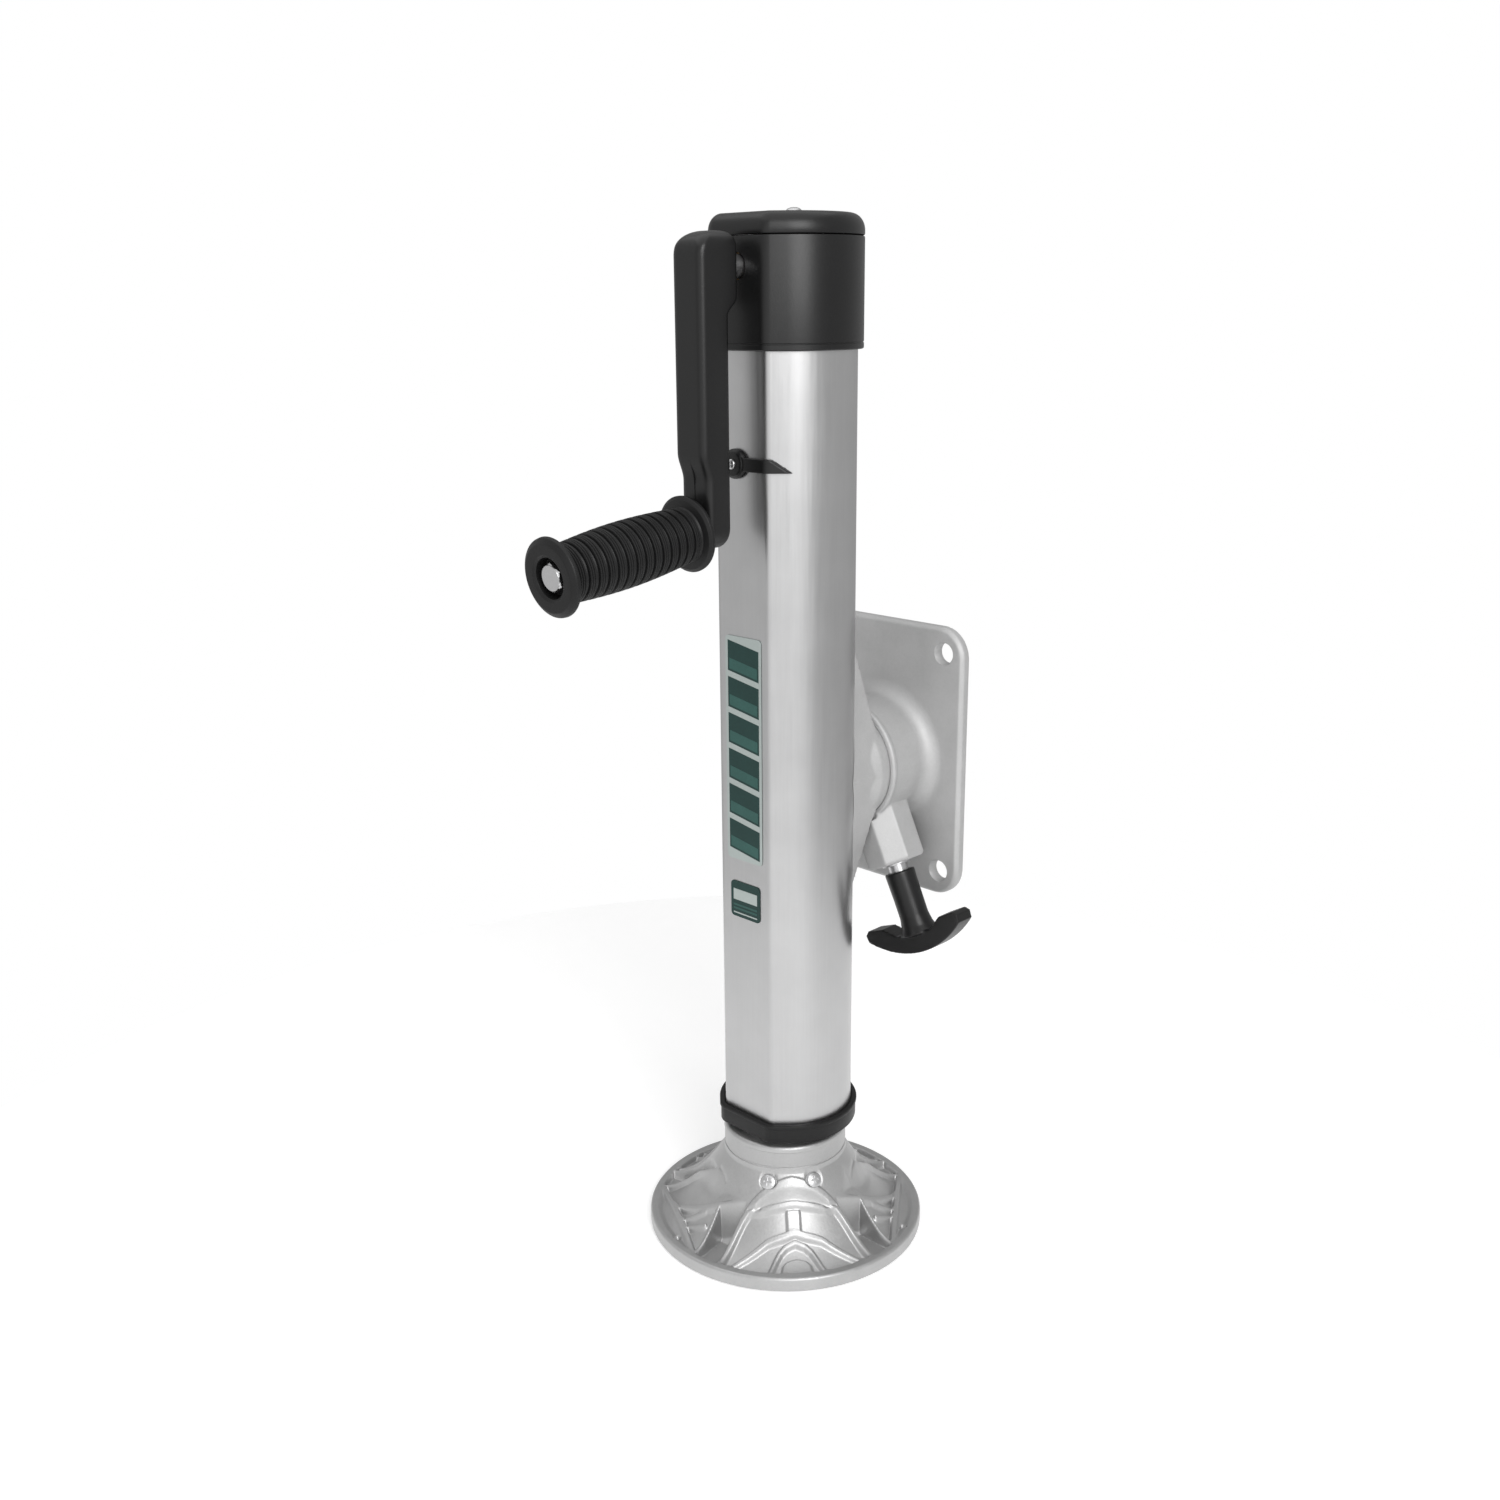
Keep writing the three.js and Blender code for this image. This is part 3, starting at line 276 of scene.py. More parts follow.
def textured(
    name, base, rough, metallic, grain, bump_mm,
    stretch=(1, 1, 1), vary=0.06, tint=0.12, specular=0.5,
):
    """A surface with grain in its height and roughness, and slow patches in its colour.

    vary is how far the roughness strays and tint how far the colour does.
    """
    made = bpy.data.materials.new(name)
    made.use_nodes = True
    nodes, links = made.node_tree.nodes, made.node_tree.links
    shader = nodes["Principled BSDF"]
    where = nodes.new("ShaderNodeTexCoord")
    scale = nodes.new("ShaderNodeMapping")
    scale.inputs["Scale"].default_value = stretch
    links.new(where.outputs["Object"], scale.inputs["Vector"])
    fine = nodes.new("ShaderNodeTexNoise")
    fine.inputs["Scale"].default_value = grain
    fine.inputs["Detail"].default_value = 6
    fine.inputs["Roughness"].default_value = 0.6
    links.new(scale.outputs["Vector"], fine.inputs["Vector"])
    slow = nodes.new("ShaderNodeTexNoise")
    slow.inputs["Scale"].default_value = PATCH_SCALE
    slow.inputs["Detail"].default_value = 4
    links.new(where.outputs["Object"], slow.inputs["Vector"])
    ramp = nodes.new("ShaderNodeValToRGB")
    ramp.color_ramp.elements[0].position = NOISE_LOW
    ramp.color_ramp.elements[1].position = NOISE_HIGH
    ramp.color_ramp.elements[0].color = (*[c * (1 - tint) for c in base], 1)
    ramp.color_ramp.elements[1].color = (*[min(1, c * (1 + tint)) for c in base], 1)
    both = nodes.new("ShaderNodeMath")
    both.operation = "MULTIPLY_ADD"
    both.inputs[1].default_value = 0.5
    halved = nodes.new("ShaderNodeMath")
    halved.operation = "MULTIPLY"
    halved.inputs[1].default_value = 0.5
    links.new(slow.outputs["Fac"], halved.inputs[0])
    links.new(fine.outputs["Fac"], both.inputs[0])
    links.new(halved.outputs["Value"], both.inputs[2])
    links.new(both.outputs["Value"], ramp.inputs["Fac"])
    links.new(ramp.outputs["Color"], shader.inputs["Base Color"])
    spread = nodes.new("ShaderNodeMapRange")
    spread.inputs["From Min"].default_value = NOISE_LOW
    spread.inputs["From Max"].default_value = NOISE_HIGH
    spread.inputs["To Min"].default_value = rough - vary
    spread.inputs["To Max"].default_value = rough + vary
    links.new(fine.outputs["Fac"], spread.inputs["Value"])
    links.new(spread.outputs["Result"], shader.inputs["Roughness"])
    bump = nodes.new("ShaderNodeBump")
    bump.inputs["Strength"].default_value = 1
    bump.inputs["Distance"].default_value = bump_mm * MM
    links.new(fine.outputs["Fac"], bump.inputs["Height"])
    links.new(bump.outputs["Normal"], shader.inputs["Normal"])
    shader.inputs["Metallic"].default_value = metallic
    shader.inputs["Specular IOR Level"].default_value = specular
    return made


drawn_aluminium = textured(
    "drawn_aluminium", (0.495, 0.495, 0.497), 0.34, 1, 900, 0.015, stretch=(1, 1, 0.02), vary=0.05, tint=0.05)
cast_aluminium = textured("cast_aluminium", (0.45, 0.45, 0.45), 0.56, 0.45, 700, 0.12, vary=0.07, tint=0.10)
cast_foot = textured("cast_foot", (0.455, 0.455, 0.455), 0.44, 0.85, 700, 0.10, vary=0.07, tint=0.10)
black_plastic = textured(
    "black_plastic", (0.005, 0.005, 0.0052), 0.35, 0, 1500, 0.03, vary=0.05, tint=0.2, specular=0.38)
black_rubber = textured(
    "black_rubber", (0.006, 0.006, 0.0062), 0.46, 0, 1800, 0.04, vary=0.06, tint=0.2, specular=0.3)
zinc_steel = textured("zinc_steel", (0.56, 0.56, 0.565), 0.33, 1, 1200, 0.01, vary=0.06, tint=0.05)
dark_steel = textured("dark_steel", (0.27, 0.265, 0.26), 0.36, 1, 1000, 0.02, vary=0.08, tint=0.12)
bronze = textured("bronze", (0.55, 0.36, 0.16), 0.34, 1, 900, 0.02, vary=0.06, tint=0.1)
film_dark = textured(
    "film_dark", (0.010, 0.036, 0.032), 0.4, 0, 800, 0.01, vary=0.04, tint=0.15, specular=0.25)
film_pale = textured("film_pale", (0.42, 0.47, 0.455), 0.36, 0.6, 800, 0.01, vary=0.04, tint=0.05)
film_teal = textured(
    "film_teal", (0.028, 0.085, 0.074), 0.4, 0, 800, 0.01, vary=0.04, tint=0.15, specular=0.25)
BY_SLOT = {
    "tube_aluminium": drawn_aluminium,
    "cast_aluminium": cast_aluminium,
    "black_plastic": black_plastic,
    "black_rubber": black_rubber,
    "zinc_steel": zinc_steel,
    "dark_steel": dark_steel,
    "bronze": bronze,
    "green_print": film_dark,
}
slot_of = {part["node"]: part["material_slot"] for part in frame["record"]["subparts"]}
for name, thing in frame["nodes"].items():
    for i in range(len(thing.data.materials)):
        thing.data.materials[i] = BY_SLOT[slot_of[name]]


# ------------------------------------------------------------------ foot
FAR_AWAY = 1e9
EDGE_R = 84.6
FOOT_FLOOR = 4.5
CONE_CURVE = 1.7
DISH_DEPTH, SHOULDER_DROP, PAD_RISE = 3.9, 1.9, 2.3
VALLEY_DEPTH, VALLEY_CLIMB = 19, 14
TICK_DEPTH, DRAIN_DEPTH = 1.1, 3.0
ARCH_TOP_R, ARCH_REACH, ARCH_POWER = 42.6, 6, 0.72
FRONT_HALF, REAR_MIDDLE, REAR_HALF = 35, 147, 27
FOOT_SCREW_TURN, FOOT_SCREW_SEAT = 20, 2


def smooth_step(x, low, high):
    """0 below low, 1 above high, and a smooth rise between."""
    t = np.clip((x - low) / (high - low), 0, 1)
    return t * t * (3 - 2 * t)


def polar(points):
    """Plan points from (radius, degrees from the front petal's middle)."""
    turned_points = [(r, (FRONT_PETAL + a) * DEG) for r, a in points]
    return np.array([(r * math.cos(a), r * math.sin(a)) for r, a in turned_points])


def to_line(x, y, line):
    """Distance from each plan point to a polyline."""
    best = np.full(x.shape, FAR_AWAY)
    for (ax, ay), (bx, by) in zip(line[:-1], line[1:]):
        dx, dy = bx - ax, by - ay
        t = np.clip(((x - ax) * dx + (y - ay) * dy) / (dx * dx + dy * dy + 1e-12), 0, 1)
        best = np.minimum(best, np.hypot(x - ax - t * dx, y - ay - t * dy))
    return best


def to_region(x, y, corners):
    """Signed distance to a closed outline, negative inside."""
    closed = np.vstack([corners, corners[:1]])
    inside = np.zeros(x.shape, bool)
    for (ax, ay), (bx, by) in zip(closed[:-1], closed[1:]):
        crosses = (ay > y) != (by > y)
        at = ax + (y - ay) * (bx - ax) / (by - ay + 1e-12)
        inside ^= crosses & (x < at)
    distance = to_line(x, y, closed)
    return np.where(inside, -distance, distance)


def nearest_line(x, y, lines):
    """Distance to the nearest of some (radius, degrees) lines."""
    best = np.full(x.shape, FAR_AWAY)
    for line in lines:
        best = np.minimum(best, to_line(x, y, polar(line)))
    return best


def nearest_region(x, y, outlines):
    """Signed distance to the nearest of some (radius, degrees) outlines."""
    best = np.full(x.shape, FAR_AWAY)
    for corners in outlines:
        best = np.minimum(best, to_region(x, y, polar(corners)))
    return best


def both_sides(points):
    """(radius, degrees) points and their mirror image across the front petal's middle."""
    return [points, [(r, -a) for r, a in points]]


def to_rear(points):
    """A front petal's (radius, degrees) points moved to the narrower rear petal."""
    return [(r, REAR_MIDDLE + a * REAR_HALF / FRONT_HALF) for r, a in points]


# Deep pockets between the petals
VALLEY_NEAR = [(50.7, 34), (53, 43), (56.5, 52.5), (64, 50.5), (74, 48.6), (EDGE_R, 47.6),
               (EDGE_R, 37.4), (76, 36.9), (66, 36.2), (58, 35.4), (54, 34.4)]
VALLEY_FAR = [(46.5, 79), (50, 89), (55, 97), (60, 101.7), (70, 106), (EDGE_R, 107.6),
              (EDGE_R, 120), (74, 119.4), (64, 117.6), (56, 113), (50, 103)]
VALLEY_BACK = [(50.7, 180), (56, 169), (70, 172), (EDGE_R, 174), (EDGE_R, 186), (70, 188), (56, 191)]
VALLEYS = both_sides(VALLEY_NEAR) + both_sides(VALLEY_FAR) + [VALLEY_BACK]

# Petals, with a ridge round each and a dish inside it
FAR_RIDGE = [(45, 71), (46, 78), (50, 88.8), (55, 97), (60, 101.7), (70, 106), (EDGE_R, 107.5)]
NEAR_RIDGE = [(EDGE_R, 48), (74, 49), (64, 51), (56.5, 53), (53.4, 45), (50.7, 37.5), (45.5, 45)]
SIDE_PETALS = both_sides([(40.5, 54)] + FAR_RIDGE + NEAR_RIDGE)


def arched_petal(middle, half):
    """A petal whose edges rise from the rim and meet in an arch below the neck."""
    beyond_top = [0, 0.04, 0.15, 0.35, 0.7, 1.2, 2, 3.6, 5.8, 8.4, 11.4, 15.4, 20.4, 26.4, 33.4]
    beyond_top.append(EDGE_R - ARCH_TOP_R)
    spread = [(ARCH_TOP_R + d, half * (1 - math.exp(-d / ARCH_REACH)) ** ARCH_POWER) for d in beyond_top]
    edge = [(r, middle + a) for r, a in spread]
    rim = [(EDGE_R, middle + half * quarter / 4) for quarter in range(3, -4, -1)]
    return edge + rim + [(r, middle - a) for r, a in spread[:0:-1]]


ARCHED_PETALS = [
    arched_petal(0, FRONT_HALF),
    arched_petal(REAR_MIDDLE, REAR_HALF),
    arched_petal(-REAR_MIDDLE, REAR_HALF),
]

# Ribs inside the petals: (points, half width, rise above the dish)
FRONT_RIBS = [
    ([(49.2, 0), (49.8, 8), (51, 16), (52.6, 23), (53.6, 30)], 0.9, 2.3),
    ([(60, 0), (61.4, 6), (64.4, 15.5), (70, 21.5), (76, 26.5), (82, 30)], 1.3, 2.5),
    ([(64, 0), (66, 5.2), (69, 8.2), (73, 10), (78, 11.4), (83, 12.5)], 1.0, 2.4),
]
SIDE_RIBS = [
    ([(56, 53.5), (60, 63), (64, 71), (70, 81), (76, 90), (81, 97)], 1.3, 3.1),
    ([(81, 78), (71, 70), (61, 62)], 1.0, 2.8),
    ([(81, 78), (74, 66), (66.5, 56)], 1.0, 2.8),
]

# Raised flat areas inside the arched petals: a stem below the neck and a pad at the rim
STEM = [(51, -5.2), (60, -4.4), (62.2, -4.2), (62.2, 4.2), (60, 4.4), (51, 5.2)]
PAD = [(71.4, 0), (71.9, 2.5), (73, 5), (75.4, 6.8), (83.2, 7.6),
       (83.2, -7.6), (75.4, -6.8), (73, -5), (71.9, -2.5)]

# Short grooves across the ridges, and drain notches at the rim
TICKS = both_sides([(51.9, 23.5), (53.6, 31.5)]) + both_sides([(45, 75), (46.5, 60)])
DRAINS = both_sides([(81, 63), (82.2, 63)])


def foot_ribs():
    """Every rib of the five petals."""
    ribs = []
    for line, width, rise in FRONT_RIBS + SIDE_RIBS:
        ribs += [(side, width, rise) for side in both_sides(line)]
    for line, width, rise in FRONT_RIBS:
        for half in both_sides(line):
            ribs += [(side, width, rise) for side in both_sides(to_rear(half))]
    return ribs


def foot_pads():
    """The stem and pad of the three arched petals."""
    pads = [STEM, PAD]
    for shape in (STEM, PAD):
        pads += both_sides(to_rear(shape))
    return pads


def foot_screw_places():
    """(point on the cone, axis) of the two screws in front and the two behind."""
    places = []
    for middle in (FRONT_PETAL, FRONT_PETAL - 180):
        for turn in (middle - FOOT_SCREW_TURN, middle + FOOT_SCREW_TURN):
            out = Vector((math.cos(turn * DEG), math.sin(turn * DEG), 0))
            point = out * (NECK_R + 4.2) + Vector((0, 0, NECK_BOTTOM - 6.5))
            places.append((point, (out + Vector((0, 0, 0.7))).normalized()))
    return places


def petal_relief(x, y, radius, rib_rise):
    """How far the petals' dishes and the shoulders between them lie below the cone."""
    arched = nearest_region(x, y, ARCHED_PETALS)
    side_petal = nearest_region(x, y, SIDE_PETALS)
    crisp = smooth_step(radius, 50, 57)
    soft_dish = smooth_step(-side_petal, 0.6, 9)
    side_dish = soft_dish + (smooth_step(-side_petal, 1.2, 2.8) - soft_dish) * crisp
    arched_dish = smooth_step(-arched, 1.2, 2.7) * smooth_step(radius, 43.5, 48.5)
    dish = DISH_DEPTH * np.maximum(arched_dish, side_dish) * smooth_step(-radius, -83.4, -81.4)
    dish = np.maximum(dish - rib_rise, 0)
    beside = 1 + (smooth_step(side_petal, 0.9, 2.6) - 1) * crisp
    shoulder = SHOULDER_DROP * smooth_step(arched, 0.9, 2.6) * beside * smooth_step(-radius, -84.2, -80)
    return dish + shoulder


def foot_height(x, y):
    """Height of the casting's upper side over each plan point."""
    radius = np.hypot(x, y)
    climb = np.clip((RIM_INNER_R - radius) / (RIM_INNER_R - NECK_R), 0, 1)
    cone = RIM_Z + (NECK_BOTTOM - RIM_Z) * climb**CONE_CURVE
    rib_rise = np.zeros(x.shape)
    for line, width, rise in foot_ribs():
        away = to_line(x, y, polar(line))
        rib_rise = np.maximum(rib_rise, rise * smooth_step(-away, -width - 0.9, -width + 0.1))
    for corners in foot_pads():
        away = to_region(x, y, polar(corners))
        rib_rise = np.maximum(rib_rise, PAD_RISE * smooth_step(-away, -0.2, 0.9))
    depth = VALLEY_DEPTH - VALLEY_CLIMB * smooth_step(radius, 64, 83.5)
    depth *= smooth_step(-nearest_region(x, y, VALLEYS), -0.3, 2.4) * smooth_step(-radius, -84.4, -82.4)
    marks = TICK_DEPTH * smooth_step(-nearest_line(x, y, TICKS), -0.75, -0.15)
    marks += DRAIN_DEPTH * smooth_step(-nearest_line(x, y, DRAINS), -2.0, -1.1)
    height = np.maximum(cone - petal_relief(x, y, radius, rib_rise) - depth, FOOT_FLOOR) - marks
    for point, axis in foot_screw_places():
        seat = point - axis * FOOT_SCREW_SEAT
        plane = seat.z - (axis.x * (x - seat.x) + axis.y * (y - seat.y)) / axis.z
        reach = np.sqrt((x - seat.x) ** 2 + (y - seat.y) ** 2 + (plane - seat.z) ** 2)
        share = smooth_step(-reach, -6.2, -5.5)
        height = height + (np.minimum(plane, height) - height) * share
    return height


def foot():
    """The cast foot: plain turned rings, with the ribbed upper side as a grid of heights between them."""
    around = 1000
    turns = 2 * np.pi * np.arange(around) / around
    surface_r = np.concatenate([np.linspace(NECK_R + 0.3, 60, 72), np.linspace(60.35, EDGE_R, 80)])
    rings = []

    def plain(radius, z):
        rings.append([(radius * math.cos(t), radius * math.sin(t), z) for t in turns])

    plain(0.01, 0)
    plain(86.9, 0)
    for radius, z in arc(FOOT_R - 1.3, 1.3, 1.3, -90, 0, 4):
        plain(radius, z)
    for radius, z in arc(FOOT_R - 2, RIM_Z - 2, 2, 0, 90, 6):
        plain(radius, z)
    x = surface_r[:, None] * np.cos(turns)
    y = surface_r[:, None] * np.sin(turns)
    z = foot_height(x, y)
    for softening in range(2):
        z = (np.roll(z, 1, 1) + 2 * z + np.roll(z, -1, 1)) / 4
        z[1:-1] = (z[:-2] + 2 * z[1:-1] + z[2:]) / 4
    for i in range(len(surface_r) - 1, -1, -1):
        rings.append(list(zip(x[i], y[i], z[i])))
    plain(NECK_R + 0.15, NECK_BOTTOM + 0.5)
    plain(NECK_R - 0.45, NECK_BOTTOM + 1.0)
    plain(NECK_R - 0.45, NECK_BOTTOM + 1.6)
    plain(NECK_R, NECK_BOTTOM + 2.1)
    plain(NECK_R, NECK_TOP - 4.2)
    plain(NECK_R + 0.35, NECK_TOP - 3.8)
    for radius, z in arc(NECK_R - 2.4, NECK_TOP - 2.6, 2.6, 0, 90, 7):
        plain(radius, z)
    plain(31.2, NECK_TOP)
    plain(RAM_R + 0.4, NECK_TOP - 0.8)
    plain(RAM_R + 0.4, RAM_BOTTOM - 0.5)
    plain(0.01, RAM_BOTTOM - 0.5)
    return raw_object("foot", *lofted(rings))


finished(foot(), cast_foot, "ram", ["foot_casting"], 40)


def screw_piece(name, place, head_r, head_h, shank_r, length, body, node):
    """A domed head with a cross recess, on a shank."""
    dome = [(head_r, 0), (head_r, head_h * 0.35)]
    for k in range(1, 9):
        a = k * 90 / 8 * DEG
        dome.append((head_r * math.cos(a), head_h * (0.35 + 0.65 * math.sin(a))))
    shape = turned([(0, -length), (shank_r, -length), (shank_r, 0)] + dome, 64, place)
    thing = raw_object(name, *shape)
    across = head_r * 0.55
    slots = []
    for half_u, half_v in ((across, head_r * 0.13), (head_r * 0.13, across)):
        outline = [(-half_u, -half_v), (half_u, -half_v), (half_u, half_v), (-half_u, half_v)]
        slots.append(prism(outline, head_h * 0.5, head_h * 2, lambda *point: place @ Vector(point)))
    cut(thing, *slots)
    return finished(thing, zinc_steel, body, [node])


for i, (point, axis) in enumerate(foot_screw_places(), 1):
    seat = along(point - axis * FOOT_SCREW_SEAT, axis)
    screw_piece(f"foot_screw_visual_{i}", seat, 4.9, 2.2, 2.4, 11, "ram", f"foot_screw_{i}")

# ------------------------------------------------------------------ ram
ram = turned([
    (RAM_R, RAM_BOTTOM), (RAM_R, RAM_TOP - 0.6), (RAM_R - 0.6, RAM_TOP), (RAM_BORE_R + 0.6, RAM_TOP),
    (RAM_BORE_R, RAM_TOP - 0.6), (RAM_BORE_R, RAM_BOTTOM), (RAM_R, RAM_BOTTOM),
], 128)
finished(raw_object("ram", *ram), zinc_steel, "ram", ["ram_tube"])

# ------------------------------------------------------------------ tube, collar, cap
tube_rings = [
    d_ring(-TUBE_WALL, TUBE_BOTTOM), d_ring(-0.4, TUBE_BOTTOM), d_ring(0, TUBE_BOTTOM + 0.4),
    d_ring(0, TUBE_TOP - 0.4), d_ring(-0.4, TUBE_TOP), d_ring(-TUBE_WALL, TUBE_TOP),
]
tube = raw_object("tube", *lofted(tube_rings, closed=True))
finished(tube, drawn_aluminium, "jack", ["outer_tube"])

# The collar closes in on the ram under the tube's end, and has a lip at its top
collar_rings = [
    round_ring(RAM_R + 0.6, 75), round_ring(RAM_R + 1.2, 74.3), d_ring(2.2, 74), d_ring(2.9, 74.3),
    d_ring(3.2, 75), d_ring(3.2, 83.4), d_ring(3.7, 83.8), d_ring(3.9, 84.4), d_ring(3.9, 85.4),
    d_ring(3.6, 86), d_ring(3.0, 86.2), d_ring(1.0, 86.2), d_ring(0.3, 85.6),
    d_ring(0.3, TUBE_BOTTOM - 0.2), round_ring(RAM_R + 0.6, TUBE_BOTTOM - 0.3),
]
collar = raw_object("collar", *lofted(collar_rings, closed=True))
finished(collar, black_rubber, "jack", ["bottom_collar"])

# The housing has a fine groove round its foot and a rounded top edge
housing_rings = [
    d_ring(0.4, CAP_BOTTOM), d_ring(CAP_WALL - 0.7, CAP_BOTTOM), d_ring(CAP_WALL, CAP_BOTTOM + 0.6),
    d_ring(CAP_WALL, CAP_BOTTOM + 3.2), d_ring(CAP_WALL - 0.3, CAP_BOTTOM + 3.5),
    d_ring(CAP_WALL - 0.3, CAP_BOTTOM + 3.9), d_ring(CAP_WALL, CAP_BOTTOM + 4.2),
    d_ring(CAP_WALL, CAP_TOP - 0.9), d_ring(CAP_WALL - 0.2, CAP_TOP - 0.3),
    d_ring(CAP_WALL - 0.8, CAP_TOP), d_ring(0.4, CAP_TOP),
]
housing = raw_object("housing", *lofted(housing_rings, closed=True))
crank_place = along((0, 0, CRANK_Z), (1, 0, 0))
cut(housing, rod(SHAFT_R + 0.9, -50, -26, crank_place))
finished(housing, black_plastic, "jack", ["cap_housing"])

lid_rings = [
    d_ring(0.9, LID_BOTTOM + 8.5), d_ring(0.9, LID_BOTTOM), d_ring(CAP_WALL - 0.8, LID_BOTTOM),
    d_ring(CAP_WALL - 0.2, LID_BOTTOM + 0.3), d_ring(CAP_WALL, LID_BOTTOM + 0.9),
]
LID_ARC_START, LID_ARC_STEPS = LID_BOTTOM + 2.6, 12
for step in range(LID_ARC_STEPS + 1):
    a = step * 90 / LID_ARC_STEPS * DEG
    inset = LID_EDGE_R * (1 - math.cos(a))
    lid_rings.append(d_ring(CAP_WALL - inset, LID_ARC_START + LID_RISE * math.sin(a)))
finished(raw_object("lid", *lofted(lid_rings)), black_plastic, "jack", ["cap_lid"], 40)
lid_screw_place = along((9, 0, LID_ARC_START + LID_RISE + 0.1), (0, 0, 1))
screw_piece("lid_screw", lid_screw_place, 4.6, 3.6, 2, 18, "jack", "cap_screw")

# ------------------------------------------------------------------ crank
ARM_HALF, ARM_TOP, ARM_END, ARM_CORNER_R = 11.8, 618.0, GRIP_PIVOT.z, 9
ARM_FRONT_EDGE_R, ARM_BACK_EDGE_R = 4.4, 3
SIDE_STEPS = 90


def arm_loop(inset):
    """The arm's front outline, moved in by an inset: (y, z) points from the bottom round."""
    side_y = max(ARM_HALF - inset, 0.001)
    corner = max(ARM_CORNER_R - inset, 0.001)
    centre_y = max(side_y - corner, 0)
    top_z = ARM_TOP - inset - corner
    straight = top_z - ARM_END
    points = arc(0, ARM_END, side_y, 180, 360, 32)[:-1]
    points += [(side_y, ARM_END + straight * i / SIDE_STEPS) for i in range(SIDE_STEPS)]
    points += arc(centre_y, top_z, corner, 0, 90, 10)
    points += arc(-centre_y, top_z, corner, 90, 180, 10)[:-1]
    points += [(-side_y, top_z - straight * i / SIDE_STEPS) for i in range(SIDE_STEPS)]
    return points


def arm_front(z):
    """The -X face: stepped in near the grip and rounded over at the top."""
    x = -70.5 - 4.0 * float(smooth_step(z, 487.0, 502.0))
    bend_z, bend_r = 605, 13
    if z > bend_z:
        x = -61.5 - math.sqrt(max(bend_r**2 - (z - bend_z) ** 2, 0))
    return x


def arm_back(z):
    """The +X face: a hub stands out behind the arm's top, and rounds over."""
    x = -53.5 + 7.0 * float(smooth_step(z, 574.5, 583.5))
    bend_z, bend_r = 614, 4
    if z > bend_z:
        x = -50.5 + math.sqrt(max(bend_r**2 - (z - bend_z) ** 2, 0))
    return x


grip_axis = Vector((-math.cos(GRIP_DROOP), 0, -math.sin(GRIP_DROOP)))
grip_place = along(GRIP_PIVOT, grip_axis)
crank_pin_place = along((CRANK_PIN_X, 0, CRANK_Z), (0, 1, 0))


def crank_arm():
    """Loops that move in over a rounded edge to the middle of the front and of the back."""
    insets = [0, 0.18, 0.6, 1.2, 2.0, 3.0, 4.2, 5.0, 7.0, 9.0, 11.0, 11.79]

    def rounded(inset, radius):
        return radius - math.sqrt(max(radius**2 - max(radius - inset, 0) ** 2, 0))

    front = [[(arm_front(z) + rounded(i, ARM_FRONT_EDGE_R), y, z) for y, z in arm_loop(i)] for i in insets]
    back = [[(arm_back(z) - rounded(i, ARM_BACK_EDGE_R), y, z) for y, z in arm_loop(i)] for i in insets]
    thing = raw_object("arm", *lofted(front[::-1] + back))
    shaft_hole = rod(SHAFT_R + 0.2, -70, -40, crank_place)
    bolt_hole = rod(4.2, -25, 25, grip_place)
    cut(thing, shaft_hole, bolt_hole, rod(PIN_HOLE_R + 0.1, -9.4, 14, crank_pin_place))
    return finished(thing, black_plastic, "crank", ["crank_arm"], 40)


crank_arm()

shaft = turned(eased([
    (0, -69.5, 0), (SHAFT_R, -69.5, 0.8), (SHAFT_R, -28.4, 0), (5.5, -28.4, 0), (5.5, 36, 0.8), (0, 36, 0),
]), 96, crank_place)
shaft_piece = raw_object("shaft", *shaft)
pinion_pin_place = along((PINION_PIN_X, 0, CRANK_Z), (0, 1, 0))
cut(shaft_piece, rod(PIN_HOLE_R, -12, 20, crank_pin_place), rod(1.2, -12, 12, pinion_pin_place))
finished(shaft_piece, zinc_steel, "crank", ["crank_shaft"])


BOLT_RECESS = 8


def grip():
    """A flange at each end, and a swelling barrel of groups of fine ridges with a groove between."""
    start, end = GRIP_START, GRIP_START + GRIP_LENGTH
    points = eased([
        (5, start, 0), (18.4, start, 1.2), (21.2, start + 2.2, 1.4), (21.5, start + 4.2, 0.7),
        (19.6, start + 5.6, 0.8), (15.9, start + 6.2, 0.5),
    ])
    barrel_start, barrel_end = start + 7, end - 7
    groups = 14
    pitch = (barrel_end - barrel_start) / groups

    def radius(z):
        return 15.5 + 2.4 * math.sin(math.pi * (z - barrel_start) / (barrel_end - barrel_start))

    for i in range(groups):
        at = barrel_start + i * pitch
        for fine in range(3):
            z = at + 0.3 + fine * 1.4
            points += [(radius(z) - 0.15, z), (radius(z) + 0.08, z + 0.25), (radius(z) + 0.08, z + 0.7),
                       (radius(z) - 0.15, z + 0.95), (radius(z) - 0.6, z + 1.15)]
        z = at + pitch - 1.5
        points += [(radius(z), z), (radius(z) - 1.0, z + 0.2), (radius(z) - 1.2, z + 0.7),
                   (radius(z) - 1.0, z + 1.2), (radius(z) - 0.15, z + 1.42)]
    points += eased([
        (15.6, end - 6.6, 0), (15.9, end - 6.2, 0.5), (19.6, end - 5.6, 0.8), (21.5, end - 4.2, 0.7),
        (21.2, end - 2.0, 1.4), (18.2, end, 1.6), (12.6, end, 0.7), (11, end - 1.2, 0.4),
        (11, end - BOLT_RECESS, 0.3), (5, end - BOLT_RECESS, 0),
    ])
    points.append(points[0])
    thing = raw_object("grip", *turned(points, 128, grip_place))
    return finished(thing, black_rubber, "grip", ["handle_grip"], 25)


grip()


